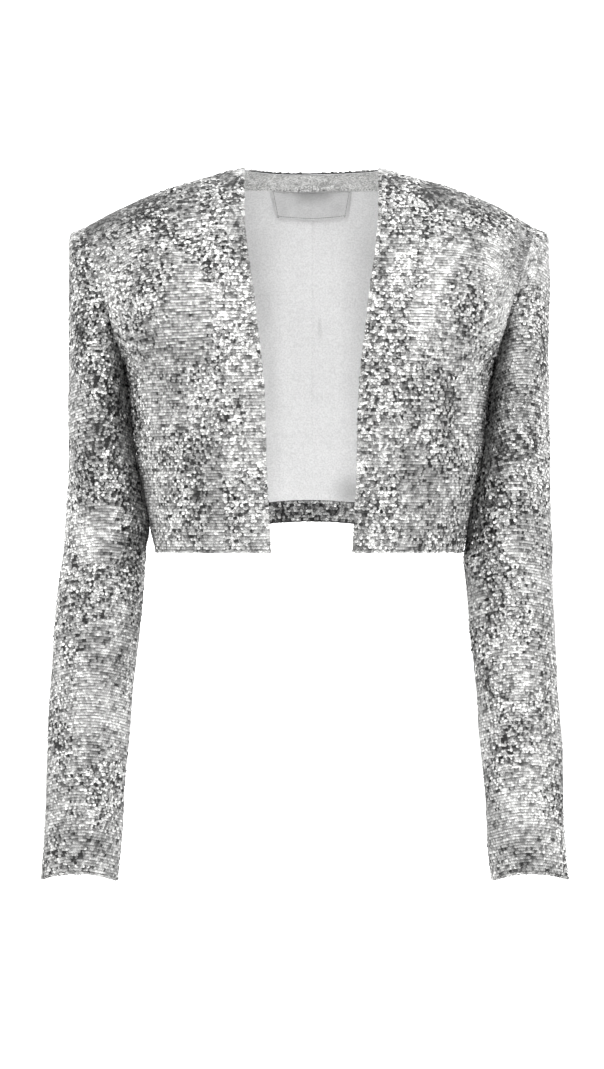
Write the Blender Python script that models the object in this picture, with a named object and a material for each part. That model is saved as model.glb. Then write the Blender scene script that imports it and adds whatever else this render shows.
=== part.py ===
"""A cropped, open-front sequin cardigan, filled out as if it were worn, with nobody in it.

Metres, +Z up. The front faces -Y and +X is the wearer's left, so a piece named
left is on the +X side. The origin is where the wearer's neck and shoulders hold
the garment up: midway between the two neck points, on the shoulder line.

Every cut piece is one closed wall of cloth. Its outer sheet is read from a
surface given by the tables below, and its inner sheet is the same points moved
inward, so that walls meet face to face at the seams and never cross.
"""
import bisect
import math
from functools import partial

import bmesh
import bpy
from mathutils import Vector

# The sides of the body: +1 is the wearer's left, and +1 is the back
LEFT, RIGHT = 1, -1
BACK, FRONT = 1, -1

# Cloth and seams
CLOTH = 0.0016
LINING = 0.0010
SEAM_GAP = 0.0003
LINING_GAP = 0.0006
LABEL_GAP = 0.0006

# Shoulder line, neck and armhole, for one half of the body
NECK_HALF = 0.065
NECK_DEPTH = 0.054
NECK_ROUND = 0.025
SHOULDER_TIP = (0.2165, -0.058)
UNDERARM = (0.1765, -0.190)
ARMHOLE_DEPTH = 0.060

# Rounding over the shoulders, and how square the body is seen from above
ROUNDING = {FRONT: 0.110, BACK: 0.100}
SQUARENESS = 2.4

# Front opening and hem. The opening stands a little to the wearer's left.
CENTRE_SHIFT = 0.003
BAND_WIDTH = 0.041
HEM_Z = -0.371
BACK_HEM_RISE = 0.030

# Pieces inside the back. The turned-up hem ends just short of the back's own edge.
FACING_HEIGHT = 0.0150
FACING_END = -FACING_HEIGHT / (HEM_Z + BACK_HEM_RISE)
HEM_TURNING = 0.0205
TURNING_END = 0.998
LABEL_TOP = 0.0168
LABEL_HEIGHT = 0.0240
LABEL_HALF = 0.0405

# Sleeves: how far both drift to the viewer's left below the hem, and the cuff's arch
SLEEVE_DRIFT = -0.0045
OUTER_DRIFT = (-0.358, -0.420)
INNER_DRIFT = (-0.335, -0.385)
CUFF_ARCH_FRONT = 0.009
CUFF_ARCH_BACK = 0.002
CUFF_ARCH_FROM = -0.600

# How the form is drawn: where columns bunch up to the side seam, how fast the
# armhole pulls the body's edge to it, how a fold fades at its ends, and how deep
# and how far down the front a point must be to take its folds in full
BUNCH_FROM = -0.08
BUNCH_TO = -0.17
ARMHOLE_PULL = 3
FOLD_FADE = 0.25
FOLD_DEPTH = 0.03
FOLD_DOWN = (0.02, 0.20)
NEARBY = 1e-4
SETTLING_ROUNDS = 4
SHARP_EDGE = math.radians(50)

# Counts of cells in the walls
ARMHOLE_ROWS = 12
SIDE_ROWS = 7
SIDE_ROW_GROWTH = 1.25
FRONT_COLUMNS = 12
BAND_COLUMNS = 3
NECK_COLUMNS = 5
SHOULDER_COLUMNS = 9
LABEL_ROWS = 3
AROUND_SLEEVE = 2 * ARMHOLE_ROWS

# The neck's share of the way across the back, and one column of the rest
NECK_SHARE = NECK_HALF / SHOULDER_TIP[0]
SHOULDER_STEP = (1 - NECK_SHARE) / SHOULDER_COLUMNS

# The shoulder line from the neck point out to the armhole
SHOULDER_HEADINGS = ("x", "z")
SHOULDER = (
    (0.0650, 0.0000),
    (0.0870, -0.0057),
    (0.1100, -0.0118),
    (0.1380, -0.0205),
    (0.1650, -0.0310),
    (0.1920, -0.0437),
    (0.2165, -0.0580),
)

# The body from the shoulders to the hem. side is the half width at the side
# seam, form the half width that the rounding of front and back is drawn to,
# edge the front opening's half width, and the depths are those at the middle.
BODY_HEADINGS = ("z", "side", "form", "edge", "front", "back")
BODY = (
    (0.000, 0.2165, 0.3400, 0.0650, 0.084, 0.092),
    (-0.058, 0.2165, 0.3200, 0.0632, 0.092, 0.100),
    (-0.090, 0.2068, 0.2800, 0.0598, 0.100, 0.106),
    (-0.124, 0.1965, 0.2400, 0.0548, 0.109, 0.111),
    (-0.160, 0.1856, 0.2035, 0.0508, 0.117, 0.114),
    (-0.190, 0.1765, 0.1773, 0.0471, 0.121, 0.114),
    (-0.215, 0.1734, 0.1740, 0.0448, 0.1215, 0.112),
    (-0.261, 0.1682, 0.1682, 0.0432, 0.118, 0.106),
    (-0.286, 0.1645, 0.1645, 0.0427, 0.115, 0.103),
    (-0.308, 0.1595, 0.1595, 0.0421, 0.112, 0.100),
    (-0.328, 0.1555, 0.1555, 0.0408, 0.110, 0.098),
    (-0.371, 0.1476, 0.1476, 0.0386, 0.107, 0.095),
)

# A sleeve's rings, from the armhole to the cuff, for the wearer's left sleeve.
# Each ring is an ellipse between an outer and an inner point, with its depth
# in front of and behind that line, and lean moves the ring to the front.
SLEEVE_HEADINGS = ("outer_x", "outer_z", "inner_x", "inner_z", "front", "back", "lean")
SLEEVE = (
    (0.2171, -0.0582, 0.1771, -0.1902, 0.0600, 0.0600, 0.000),
    (0.2228, -0.0604, 0.1779, -0.1960, 0.0606, 0.0608, 0.000),
    (0.2274, -0.0622, 0.1771, -0.2030, 0.0614, 0.0616, 0.000),
    (0.2301, -0.0650, 0.1755, -0.2110, 0.0620, 0.0622, 0.000),
    (0.2312, -0.0745, 0.1742, -0.2210, 0.0624, 0.0628, 0.000),
    (0.2313, -0.0990, 0.1729, -0.2320, 0.0627, 0.0632, 0.000),
    (0.2312, -0.1360, 0.1714, -0.2440, 0.0630, 0.0634, 0.000),
    (0.2311, -0.1710, 0.1699, -0.2570, 0.0628, 0.0630, -0.001),
    (0.2312, -0.2080, 0.1679, -0.2720, 0.0618, 0.0618, -0.001),
    (0.2315, -0.2440, 0.1651, -0.2890, 0.0602, 0.0600, -0.002),
    (0.2318, -0.2780, 0.1609, -0.3070, 0.0580, 0.0577, -0.002),
    (0.2323, -0.3090, 0.1572, -0.3260, 0.0556, 0.0552, -0.003),
    (0.2336, -0.3380, 0.1545, -0.3460, 0.0532, 0.0528, -0.003),
    (0.2352, -0.3600, 0.1543, -0.3630, 0.0512, 0.0508, -0.004),
    (0.2360, -0.3760, 0.1539, -0.3770, 0.0502, 0.0497, -0.005),
    (0.2372, -0.3910, 0.1549, -0.3920, 0.0493, 0.0489, -0.006),
    (0.2384, -0.4070, 0.1562, -0.4080, 0.0486, 0.0482, -0.007),
    (0.2396, -0.4270, 0.1581, -0.4280, 0.0477, 0.0473, -0.009),
    (0.2415, -0.4560, 0.1608, -0.4570, 0.0464, 0.0460, -0.011),
    (0.2436, -0.4950, 0.1642, -0.4960, 0.0448, 0.0444, -0.013),
    (0.2459, -0.5330, 0.1676, -0.5340, 0.0432, 0.0428, -0.015),
    (0.2478, -0.5720, 0.1710, -0.5730, 0.0417, 0.0413, -0.017),
    (0.2488, -0.6105, 0.1744, -0.6115, 0.0404, 0.0400, -0.019),
    (0.2502, -0.6490, 0.1768, -0.6500, 0.0394, 0.0391, -0.021),
    (0.2526, -0.6850, 0.1790, -0.6860, 0.0388, 0.0386, -0.022),
)

# Soft folds on the two fronts, a ridge where height is over nought and a
# trough where it is under: x and z of one end and the other, width and height.
FRONT_FOLDS = {
    RIGHT: (
        (0.165, -0.045, 0.098, -0.100, 0.016, -0.0022),
        (0.098, -0.100, 0.070, -0.150, 0.014, -0.0018),
        (0.128, -0.090, 0.108, -0.165, 0.026, 0.0024),
        (0.116, -0.285, 0.090, -0.340, 0.015, -0.0018),
    ),
    LEFT: (
        (0.178, -0.075, 0.150, -0.125, 0.016, 0.0022),
        (0.147, -0.085, 0.118, -0.130, 0.012, 0.0018),
        (0.110, -0.130, 0.098, -0.205, 0.014, 0.0018),
        (0.150, -0.220, 0.120, -0.260, 0.022, -0.0020),
    ),
}

# Creases round the elbow, in the sleeve's angle round from its outer line (the
# front is at 90 degrees) and z: one end and the other, width and height.
SLEEVE_CREASES = {
    RIGHT: (
        (30.0, -0.362, 140.0, -0.368, 0.0080, 0.0020),
        (40.0, -0.386, 150.0, -0.380, 0.0080, -0.0020),
        (30.0, -0.408, 120.0, -0.412, 0.0080, 0.0018),
        (200.0, -0.330, 320.0, -0.350, 0.0090, -0.0018),
    ),
    LEFT: (
        (110.0, -0.352, 30.0, -0.396, 0.0090, 0.0020),
        (150.0, -0.366, 60.0, -0.420, 0.0080, -0.0018),
        (130.0, -0.596, 60.0, -0.632, 0.0100, 0.0016),
        (205.0, -0.335, 320.0, -0.352, 0.0090, -0.0018),
    ),
}

MATERIALS = {
    "sequin_cloth": ((0.62, 0.62, 0.61, 1.0), 0.34, 0.85),
    "lining_cloth": ((0.86, 0.86, 0.86, 1.0), 0.60, 0.0),
    "facing_cloth": ((0.72, 0.72, 0.71, 1.0), 0.45, 0.4),
    "label_cloth": ((0.60, 0.60, 0.60, 1.0), 0.70, 0.0),
}


def smooth_curve(places, values):
    """A function that reads a smooth curve through the values given at rising places."""
    last = len(places) - 1
    slopes = [
        (values[min(i + 1, last)] - values[max(i - 1, 0)])
        / (places[min(i + 1, last)] - places[max(i - 1, 0)])
        for i in range(last + 1)
    ]

    def read(at):
        at = min(max(at, places[0]), places[-1])
        i = max(bisect.bisect_left(places, at) - 1, 0)
        width = places[i + 1] - places[i]
        share = (at - places[i]) / width
        square, cube = share**2, share**3
        return (
            (2 * cube - 3 * square + 1) * values[i]
            + (cube - 2 * square + share) * width * slopes[i]
            + (3 * square - 2 * cube) * values[i + 1]
            + (cube - square) * width * slopes[i + 1]
        )

    return read


def table_curves(columns, table, key):
    """One smooth curve for each column of a table, read by the values of its key column."""
    rows = sorted(table, key=lambda row: row[columns.index(key)])
    places = [row[columns.index(key)] for row in rows]
    return {name: smooth_curve(places, [row[i] for row in rows]) for i, name in enumerate(columns)}


SHOULDER_CURVES = table_curves(SHOULDER_HEADINGS, SHOULDER, "x")
BODY_CURVES = table_curves(BODY_HEADINGS, BODY, "z")
SLEEVE_CURVES = table_curves(
    ("ring",) + SLEEVE_HEADINGS, [(i,) + row for i, row in enumerate(SLEEVE)], "ring"
)


def soft_step(low, high, at):
    """0 at low, 1 at high, and smooth between them."""
    share = min(max((at - low) / (high - low), 0.0), 1.0)
    return share * share * (3 - 2 * share)


def side_line(z):
    """Half width at the armhole, which is straight seen from the front, or at the side seam."""
    if z < UNDERARM[1]:
        return BODY_CURVES["side"](z)
    share = min((z - UNDERARM[1]) / (SHOULDER_TIP[1] - UNDERARM[1]), 1.0)
    return UNDERARM[0] + share * (SHOULDER_TIP[0] - UNDERARM[0])


def shoulder_z(x):
    """Height of the shoulder line, or of the level back neck between the neck points."""
    return 0.0 if x < NECK_HALF else SHOULDER_CURVES["z"](x)


def spread(start, end, across, z):
    """Even steps across at the shoulder, which bunch up towards the side seam below the arm."""
    bunched = soft_step(BUNCH_FROM, BUNCH_TO, z)
    share = (1 - bunched) * across + bunched * math.sin(across * math.pi / 2)
    return start + (end - start) * share


def band_x(across, z):
    return BODY_CURVES["edge"](z) + BAND_WIDTH * across


def front_x(across, z):
    return spread(band_x(1, z) + SEAM_GAP, side_line(z), across, z)


def back_x(across, z):
    return spread(0.0, side_line(z), across, z)


def round_over(drop, rounding):
    """Share of the full depth that the cloth has reached so far below the shoulder line."""
    share = min(max(drop / rounding, 0.0), 1.0)
    return math.sqrt(1 - (1 - share) ** 2)


def neck_drop(x):
    """The drop that gives the back neck its round line, nought from the neck points outward."""
    if x >= NECK_HALF:
        return 0.0
    share = (math.hypot(x, NECK_ROUND) - NECK_ROUND) / (math.hypot(NECK_HALF, NECK_ROUND) - NECK_ROUND)
    depth = NECK_DEPTH * math.sqrt(1 - share) / BODY_CURVES["back"](0.0)
    return ROUNDING[BACK] * (1 - math.sqrt(1 - depth**2))


def armhole_depth(z):
    """Half depth of the armhole at height z, nought at the shoulder tip and the underarm."""
    middle = (SHOULDER_TIP[1] + UNDERARM[1]) / 2
    half = (SHOULDER_TIP[1] - UNDERARM[1]) / 2
    return ARMHOLE_DEPTH * math.sqrt(max(1 - ((z - middle) / half) ** 2, 0.0))


def fold_height(folds, x, z):
    """Height of all folds in a table at a point: each a soft ridge that fades at both ends."""
    total = 0.0
    for x1, z1, x2, z2, width, height in folds:
        run = Vector((x2 - x1, z2 - z1))
        off = Vector((x - x1, z - z1))
        along = off.dot(run) / run.length_squared
        beside = (off.x * run.y - off.y * run.x) / run.length
        fade = soft_step(-FOLD_FADE, FOLD_FADE, along) * soft_step(1 + FOLD_FADE, 1 - FOLD_FADE, along)
        total += height * fade * math.exp(-2 * (beside / width) ** 2)
    return total


def hem_z(face, across):
    """The hem's height: level in front, and higher at the middle of the back."""
    if face == FRONT:
        return HEM_Z
    return HEM_Z + BACK_HEM_RISE * (0.5 + 0.5 * math.cos(math.pi * across))


def body_form(face, x_at, across, down):
    """x, depth and z of the rounded form, before it is drawn in to meet the armhole."""
    x_top = x_at(across, 0.0)
    for _ in range(SETTLING_ROUNDS):
        x_top = x_at(across, shoulder_z(x_top))
    z_top = shoulder_z(x_top)
    z = z_top + (hem_z(face, across) - z_top) * down
    x = x_at(across, z)
    drop = z_top - z + (neck_drop(x_top) if face == BACK else 0.0)
    full = BODY_CURVES["front" if face == FRONT else "back"](z)
    form = max(side_line(z), BODY_CURVES["form"](z))
    flat = max(1 - (x / form) ** SQUARENESS, 0.0) ** (1 / SQUARENESS)
    return x, full * flat * round_over(drop, ROUNDING[face]), z


def body_point(side, face, x_at, across, down):
    """A point on the outside of the body, half a seam gap away from the shoulder and side seams."""
    x, depth, z = body_form(face, x_at, across, down)
    if x_at is not band_x:
        _, edge_depth, edge_z = body_form(face, x_at, 1.0, down)
        depth += across**ARMHOLE_PULL * (armhole_depth(edge_z) - edge_depth)
    if face == FRONT:
        room = soft_step(0.0, FOLD_DEPTH, depth) * soft_step(*FOLD_DOWN, down)
        depth += room * fold_height(FRONT_FOLDS[side], x, z)
    shift = CENTRE_SHIFT * (1 - x / side_line(z))
    return Vector((side * x + shift, face * (depth + SEAM_GAP / 2), z))


def sleeve_point(side, angle, ring):
    """A point on the outside of a sleeve: angle from its outer line, round by the front."""
    row = {name: curve(ring) for name, curve in SLEEVE_CURVES.items()}
    outer = Vector((row["outer_x"], row["outer_z"]))
    inner = Vector((row["inner_x"], row["inner_z"]))
    middle, half = (outer + inner) / 2, (outer - inner) / 2
    in_front = math.sin(angle) > 0
    depth = row["front"] if in_front else row["back"]
    arch = CUFF_ARCH_FRONT if in_front else CUFF_ARCH_BACK
    z = middle.y + half.y * math.cos(angle)
    z += arch * math.sin(angle) ** 2 * soft_step(CUFF_ARCH_FROM, SLEEVE[-1][1], z)
    per_degree = math.radians(depth)
    creases = [
        (angle1 * per_degree, z1, angle2 * per_degree, z2, width, height)
        for angle1, z1, angle2, z2, width, height in SLEEVE_CREASES[side]
    ]
    bulge = 1 + fold_height(creases, math.degrees(angle) % 360 * per_degree, z) / depth
    outward = (1 + math.cos(angle)) / 2
    drift = outward * soft_step(*OUTER_DRIFT, z) + (1 - outward) * soft_step(*INNER_DRIFT, z)
    x = middle.x + half.x * math.cos(angle) * bulge
    x = side * x + SLEEVE_DRIFT * drift
    return Vector((x, row["lean"] - depth * math.sin(angle) * bulge, z))


class Surface:
    """One side of a wall: a point for each place across and down, with its outward direction."""

    def __init__(self, point, across_ends, down_ends, turn):
        self.point = point
        self.across_ends = across_ends
        self.down_ends = down_ends
        self.turn = turn

    def spot(self, across, down):
        """The point at a place and the unit vector outward from the cloth there."""
        left = max(across - NEARBY, self.across_ends[0])
        right = min(across + NEARBY, self.across_ends[1])
        above = max(down - NEARBY, self.down_ends[0])
        below = min(down + NEARBY, self.down_ends[1])
        over = self.point(right, down) - self.point(left, down)
        under = self.point(across, below) - self.point(across, above)
        return self.point(across, down), (self.turn * over.cross(under)).normalized()


def body_surface(side, face, x_at):
    return Surface(partial(body_point, side, face, x_at), (0, 1), (0, 1), side * face)


def back_point(across, down):
    """A point of the back, where across runs from -1 at one armhole to 1 at the other."""
    return body_point(LEFT if across >= 0 else RIGHT, BACK, back_x, abs(across), down)


def patch(surface, places, downs_at):
    """Rows of spots on a surface: downs_at gives the places down it for each place across."""
    columns = [[surface.spot(across, down) for down in downs_at(across)] for across in places]
    return list(zip(*columns))


def wall(name, spots, inset, thickness, colour, ring=False):
    """A closed wall of cloth between two sheets: the spots moved inward by inset, and then by
    the thickness as well. With ring the last column joins the first, which makes an open tube.
    Every sheet is cut into triangles the same way, so that layers stay parallel.
    """
    bm = bmesh.new()
    outer, inner = (
        [[bm.verts.new(point - out * depth) for point, out in line] for line in spots]
        for depth in (inset, inset + thickness)
    )
    columns = range(len(spots[0]) - (0 if ring else 1))
    for r in range(len(spots) - 1):
        for c in columns:
            d = (c + 1) % len(spots[0])
            for sheet in (outer, inner):
                bm.faces.new((sheet[r][c], sheet[r][d], sheet[r + 1][d]))
                bm.faces.new((sheet[r][c], sheet[r + 1][d], sheet[r + 1][c]))
    rims = [list(zip(outer[r], inner[r])) for r in (0, -1)]
    if ring:
        rims = [rim + rim[:1] for rim in rims]
    else:
        rims += [[(outer[r][c], inner[r][c]) for r in range(len(spots))] for c in (0, -1)]
    for rim in rims:
        for (out1, in1), (out2, in2) in zip(rim, rim[1:]):
            bm.faces.new((out1, out2, in2, in1))
    bmesh.ops.recalc_face_normals(bm, faces=bm.faces)
    mesh = bpy.data.meshes.new(name)
    bm.to_mesh(mesh)
    bm.free()
    mesh.shade_smooth()
    mesh.set_sharp_from_angle(angle=SHARP_EDGE)
    mesh.materials.append(cloth_material(name, *MATERIALS[colour]))
    return bpy.data.objects.new(name, mesh)


def cloth_material(name, colour, roughness, metallic):
    """A plain Principled material for one piece."""
    material = bpy.data.materials.new(name)
    material.use_nodes = True
    shader = material.node_tree.nodes["Principled BSDF"]
    shader.inputs["Base Color"].default_value = colour
    shader.inputs["Roughness"].default_value = roughness
    shader.inputs["Metallic"].default_value = metallic
    return material


def even_steps(low, high, count):
    return [low + (high - low) * k / count for k in range(count + 1)]


def down_steps():
    """Shares down the body: those of the sleeve's points round the armhole, then down the side
    to the top of the turned-up hem, and the hem itself.
    """
    tip, under = SHOULDER_TIP[1], UNDERARM[1]
    underarm = (tip - under) / (tip - HEM_Z)
    turning = 1 + HEM_TURNING / (HEM_Z + BACK_HEM_RISE)
    armhole = [
        underarm * (1 - math.cos(math.pi * k / ARMHOLE_ROWS)) / 2 for k in range(ARMHOLE_ROWS + 1)
    ]
    side = [
        underarm + (turning - underarm) * (k / SIDE_ROWS) ** SIDE_ROW_GROWTH
        for k in range(1, SIDE_ROWS + 1)
    ]
    return armhole + side + [1.0]


def back_steps():
    """Shares down the back, with one more row at the end of the neck facing."""
    return sorted(down_steps() + [FACING_END])


def neck_steps():
    """Shares across the back, close together round one half of the neck."""
    return [
        NECK_SHARE * math.sin(math.pi / 2 * k / NECK_COLUMNS) for k in range(NECK_COLUMNS + 1)
    ]


def both_halves(steps):
    """Shares across one half of the back, given to both halves."""
    return [-step for step in reversed(steps) if step > 0] + steps


def down_to(z, across):
    """The share down the back at which it is at height z."""
    top = shoulder_z(abs(across) * SHOULDER_TIP[0])
    return (top - z) / (top - hem_z(BACK, abs(across)))


def lining_downs(across):
    """Places down the lining: it starts under the neck facing, and beside that at the shoulder
    seam, and from the row below it shares the back's own rows, down to the turned-up hem.
    """
    rows = back_steps()
    facing_row = rows.index(FACING_END)
    under_facing = FACING_END + SEAM_GAP / abs(HEM_Z)
    top = under_facing * (1 - soft_step(NECK_SHARE, NECK_SHARE + SHOULDER_STEP, abs(across)))
    first_shared = rows[facing_row + 1]
    upper = [top + (first_shared - top) * row / first_shared for row in rows[: facing_row + 1]]
    return upper + rows[facing_row + 1 : -2] + [rows[-2] - SEAM_GAP / abs(HEM_Z)]


def front_pieces(side, name):
    """A front and its band, with the seam between them parallel to the open edge."""
    rows = down_steps()
    front = body_surface(side, FRONT, front_x)
    band = body_surface(side, FRONT, band_x)
    front_spots = patch(front, even_steps(0, 1, FRONT_COLUMNS), lambda across: rows)
    band_spots = patch(band, even_steps(0, 1, BAND_COLUMNS), lambda across: rows)
    return [
        wall(f"front_{name}", front_spots, 0, CLOTH, "sequin_cloth"),
        wall(f"front_band_{name}", band_spots, 0, CLOTH, "sequin_cloth"),
    ]


def sleeve(side, name):
    """A sleeve: an open tube from the armhole to the cuff."""
    rings = range(len(SLEEVE))
    surface = Surface(
        partial(sleeve_point, side), (-math.inf, math.inf), (rings[0], rings[-1]), side
    )
    angles = [2 * math.pi * k / AROUND_SLEEVE for k in range(AROUND_SLEEVE)]
    spots = patch(surface, angles, lambda angle: rings)
    return wall(f"sleeve_{name}", spots, 0, CLOTH, "sequin_cloth", ring=True)


def back_pieces():
    """The back, and what is sewn to its inside: facing, lining, turned-up hem and label."""
    surface = Surface(back_point, (-1, 1), (0, 1), 1)
    rows = back_steps()
    neck = neck_steps()
    columns = both_halves(neck[:-1] + even_steps(NECK_SHARE, 1, SHOULDER_COLUMNS))
    label_half = LABEL_HALF / SHOULDER_TIP[0]
    label_columns = both_halves([step for step in neck if step < label_half] + [label_half])
    label_rows = [
        down_to(-LABEL_TOP - LABEL_HEIGHT * share, 0) for share in even_steps(0, 1, LABEL_ROWS)
    ]

    facing_rows = rows[: rows.index(FACING_END) + 1]
    under_cloth = CLOTH + LINING_GAP
    under_lining = under_cloth + LINING + LABEL_GAP
    facing = patch(surface, both_halves(neck), lambda across: facing_rows)
    lining = patch(surface, columns, lining_downs)
    turning = patch(surface, columns, lambda across: [rows[-2], TURNING_END])
    label = patch(surface, label_columns, lambda across: label_rows)
    return [
        wall("back", patch(surface, columns, lambda across: rows), 0, CLOTH, "sequin_cloth"),
        wall("back_neck_facing", facing, under_cloth, LINING, "facing_cloth"),
        wall("back_lining", lining, under_cloth, LINING, "lining_cloth"),
        wall("back_hem_turning", turning, under_cloth, LINING, "sequin_cloth"),
        wall("neck_label", label, under_lining, LINING, "label_cloth"),
    ]


def main():
    for old in list(bpy.data.objects):
        bpy.data.objects.remove(old, do_unlink=True)
    group = bpy.data.collections.new("sequin_cardigan")
    bpy.context.scene.collection.children.link(group)
    pieces = back_pieces()
    for side, name in ((LEFT, "left"), (RIGHT, "right")):
        pieces += front_pieces(side, name)
        pieces.append(sleeve(side, name))
    for piece in pieces:
        group.objects.link(piece)


main()
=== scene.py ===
"""The looks of the sequin cardigan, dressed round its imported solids.

Metres, +Z up. The front faces -Y and +X is the wearer's left. The cloth's
form comes from the same tables and curves as the solids: each piece of cloth is
a thin shell on that form, and its sequins, laid in level rows, cover it.
"""
import bisect
import math
from functools import partial

import bpy
import numpy as np
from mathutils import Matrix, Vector, noise


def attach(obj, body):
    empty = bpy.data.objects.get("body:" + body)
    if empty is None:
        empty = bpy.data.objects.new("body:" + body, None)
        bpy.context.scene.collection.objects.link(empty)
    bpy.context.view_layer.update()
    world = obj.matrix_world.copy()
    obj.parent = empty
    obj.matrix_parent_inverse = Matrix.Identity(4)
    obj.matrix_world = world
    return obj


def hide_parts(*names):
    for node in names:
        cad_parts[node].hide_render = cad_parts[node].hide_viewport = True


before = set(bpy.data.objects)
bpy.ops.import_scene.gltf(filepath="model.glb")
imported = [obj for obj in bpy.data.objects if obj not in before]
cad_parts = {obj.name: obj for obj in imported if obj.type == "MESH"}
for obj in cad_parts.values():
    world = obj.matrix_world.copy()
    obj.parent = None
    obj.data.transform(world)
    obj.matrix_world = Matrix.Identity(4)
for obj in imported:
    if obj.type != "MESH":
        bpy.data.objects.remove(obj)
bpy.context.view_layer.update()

# The sides of the body: +1 is the wearer's left, and +1 is the back
LEFT, RIGHT = 1, -1
BACK, FRONT = 1, -1
SIDES = ((LEFT, "left"), (RIGHT, "right"))

# Walls of the solids, and the gaps between them
CLOTH = 0.0016
LINING = 0.0010
SEAM_GAP = 0.0003
LINING_GAP = 0.0006
LABEL_GAP = 0.0006

# Shoulder line, neck and armhole, for one half of the body
NECK_HALF = 0.065
NECK_DEPTH = 0.054
NECK_ROUND = 0.025
SHOULDER_TIP = (0.2165, -0.058)
UNDERARM = (0.1765, -0.190)
ARMHOLE_DEPTH = 0.060
NECK_SHARE = NECK_HALF / SHOULDER_TIP[0]
SHOULDER_STEP = (1 - NECK_SHARE) / 9

# Rounding over the shoulders, and how square the body is seen from above
ROUNDING = {FRONT: 0.110, BACK: 0.100}
SQUARENESS = 2.4

# Front opening and hem. The opening stands a little to the wearer's left.
CENTRE_SHIFT = 0.003
BAND_WIDTH = 0.041
HEM_Z = -0.371
BACK_HEM_RISE = 0.030

# Pieces inside the back
FACING_HEIGHT = 0.0150
FACING_REACH = 1.03
FACING_END = -FACING_HEIGHT / (HEM_Z + BACK_HEM_RISE)
HEM_TURNING = 0.0205
TURNING_START = 1 + HEM_TURNING / (HEM_Z + BACK_HEM_RISE)
TURNING_END = 0.998
LABEL_TOP = 0.0155
LABEL_HEIGHT = 0.0236
LABEL_SAG = 0.0026
LABEL_HALF_TOP = 0.0402
LABEL_HALF_FOOT = 0.0350

# Sleeves: how far both drift to the viewer's left below the hem, and the cuff's arch
SLEEVE_DRIFT = -0.0045
OUTER_DRIFT = (-0.358, -0.420)
INNER_DRIFT = (-0.335, -0.385)
CUFF_ARCH_FRONT = 0.009
CUFF_ARCH_BACK = 0.002
CUFF_ARCH_FROM = -0.600

# How the form is drawn
BUNCH_FROM = -0.08
BUNCH_TO = -0.17
ARMHOLE_PULL = 3
FOLD_FADE = 0.25
FOLD_DEPTH = 0.03
FOLD_DOWN = (0.02, 0.20)
SETTLING_ROUNDS = 4
SHARP_EDGE = math.radians(50)

# The sequins along a free edge: how far they roll over it, and over a band's inner edge; how
# far inside it they sit, as a share of their width; and how close they stand, for each step of
# the rows behind them
EDGE_ROLL = math.radians(30)
START_ROLL = math.radians(12)
EDGE_INSET = 0.32
EDGE_CLOSER = 0.7

# Layers of cloth, as depths inward from the solids' outer face
SEQUIN_SEAT = 0.0003
GROUND = (0.0009, 0.0003)
INSIDE_LINING = (0.0013, 0.0003)
BACK_LINING = (CLOTH + LINING_GAP + 0.0002, 0.0005)
FACING = (CLOTH + LINING_GAP, 0.0006)
TURNING = (CLOTH + LINING_GAP, 0.0005)
LABEL = (CLOTH + LINING_GAP + LINING + LABEL_GAP, 0.0007)

# Sequins: width across, pitch along a row, from row to row, and to a free edge
PANEL_SEQUINS = {
    "width": 0.0036, "pitch": 0.0022, "rows": 0.0028, "margin": 0.0014, "finish": "panel_sequins"
}
BAND_SEQUINS = {
    "width": 0.0040, "pitch": 0.0026, "rows": 0.0031, "margin": 0.0016, "finish": "band_sequins"
}
FACING_SEQUINS = {
    "width": 0.0019, "pitch": 0.0016, "rows": 0.0015, "margin": 0.0007, "finish": "facing_sequins"
}

# How near the rows come to a sewn edge
SEWN_MARGIN = 0.0005

# The back's sequins this near to a neck point stay this far under the shoulder line
NECK_CLEAR = 0.005
NECK_DROP = 0.0008

# How sequins turn from the way that the cloth faces: to the front or the back all over, more
# beside a hanging sleeve, and flatter where the cloth faces up, from how far up and over what
# range. FRONT_OR_BACK is how sharply front changes to back at the sides, and SLEEVE_INWARD how
# much the sleeve's own sequins share in the turn beside it.
TURN_ALL = 0.25
TURN_BESIDE = 1.2
TURN_FLAT = 0.12
FLAT_FROM = 0.3
FLAT_OVER = 0.5
FRONT_OR_BACK = 5
BESIDE_WIDTH = 0.030
BESIDE_TOP = (-0.100, -0.170)
BESIDE_FOOT = (-0.400, -0.360)
SLEEVE_INWARD = 0.22

# Soft unevenness of the cloth: height and length of each wave
RIPPLES = ((0.0016, 0.060), (0.0007, 0.022))
RIPPLE_STRETCH = (1.0, 0.6, 0.8)
SEAM_DIP = 0.0009
SEAM_DIP_WIDTH = 0.0040

# How fine the nets of points are: columns of a front and of a sleeve, steps from one ring to the
# next, and how much closer together the columns are that rows of sequins are read from
FRONT_COLUMNS = 48
SLEEVE_COLUMNS = 96
RING_STEPS = 5
FINER_ROWS = 4

# Most cloth takes every other row and column of its net, and the lining's seam has columns
# close beside it
EVERY_OTHER = (2, 2)
SEAM_COLUMNS = (0.0005, 0.0010, 0.0016)

# How much of the back neck has its edge rolled over
NECK_INSIDE = 0.97

# How far the cloth goes past a sewn edge, into the seam
SEAM_REACH = 0.0003

# Where a sleeve hangs against the body: how far each swells there to touch the other, the
# half depth of the place, and its top and foot
TOUCH_SWELL = 0.0007
TOUCH_HALF = (0.014, 0.034)
TOUCH_TOP = (-0.185, -0.200)
TOUCH_FOOT = (-0.368, -0.350)
TOUCH_X = (0.120, 0.140, 0.186, 0.200)

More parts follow.
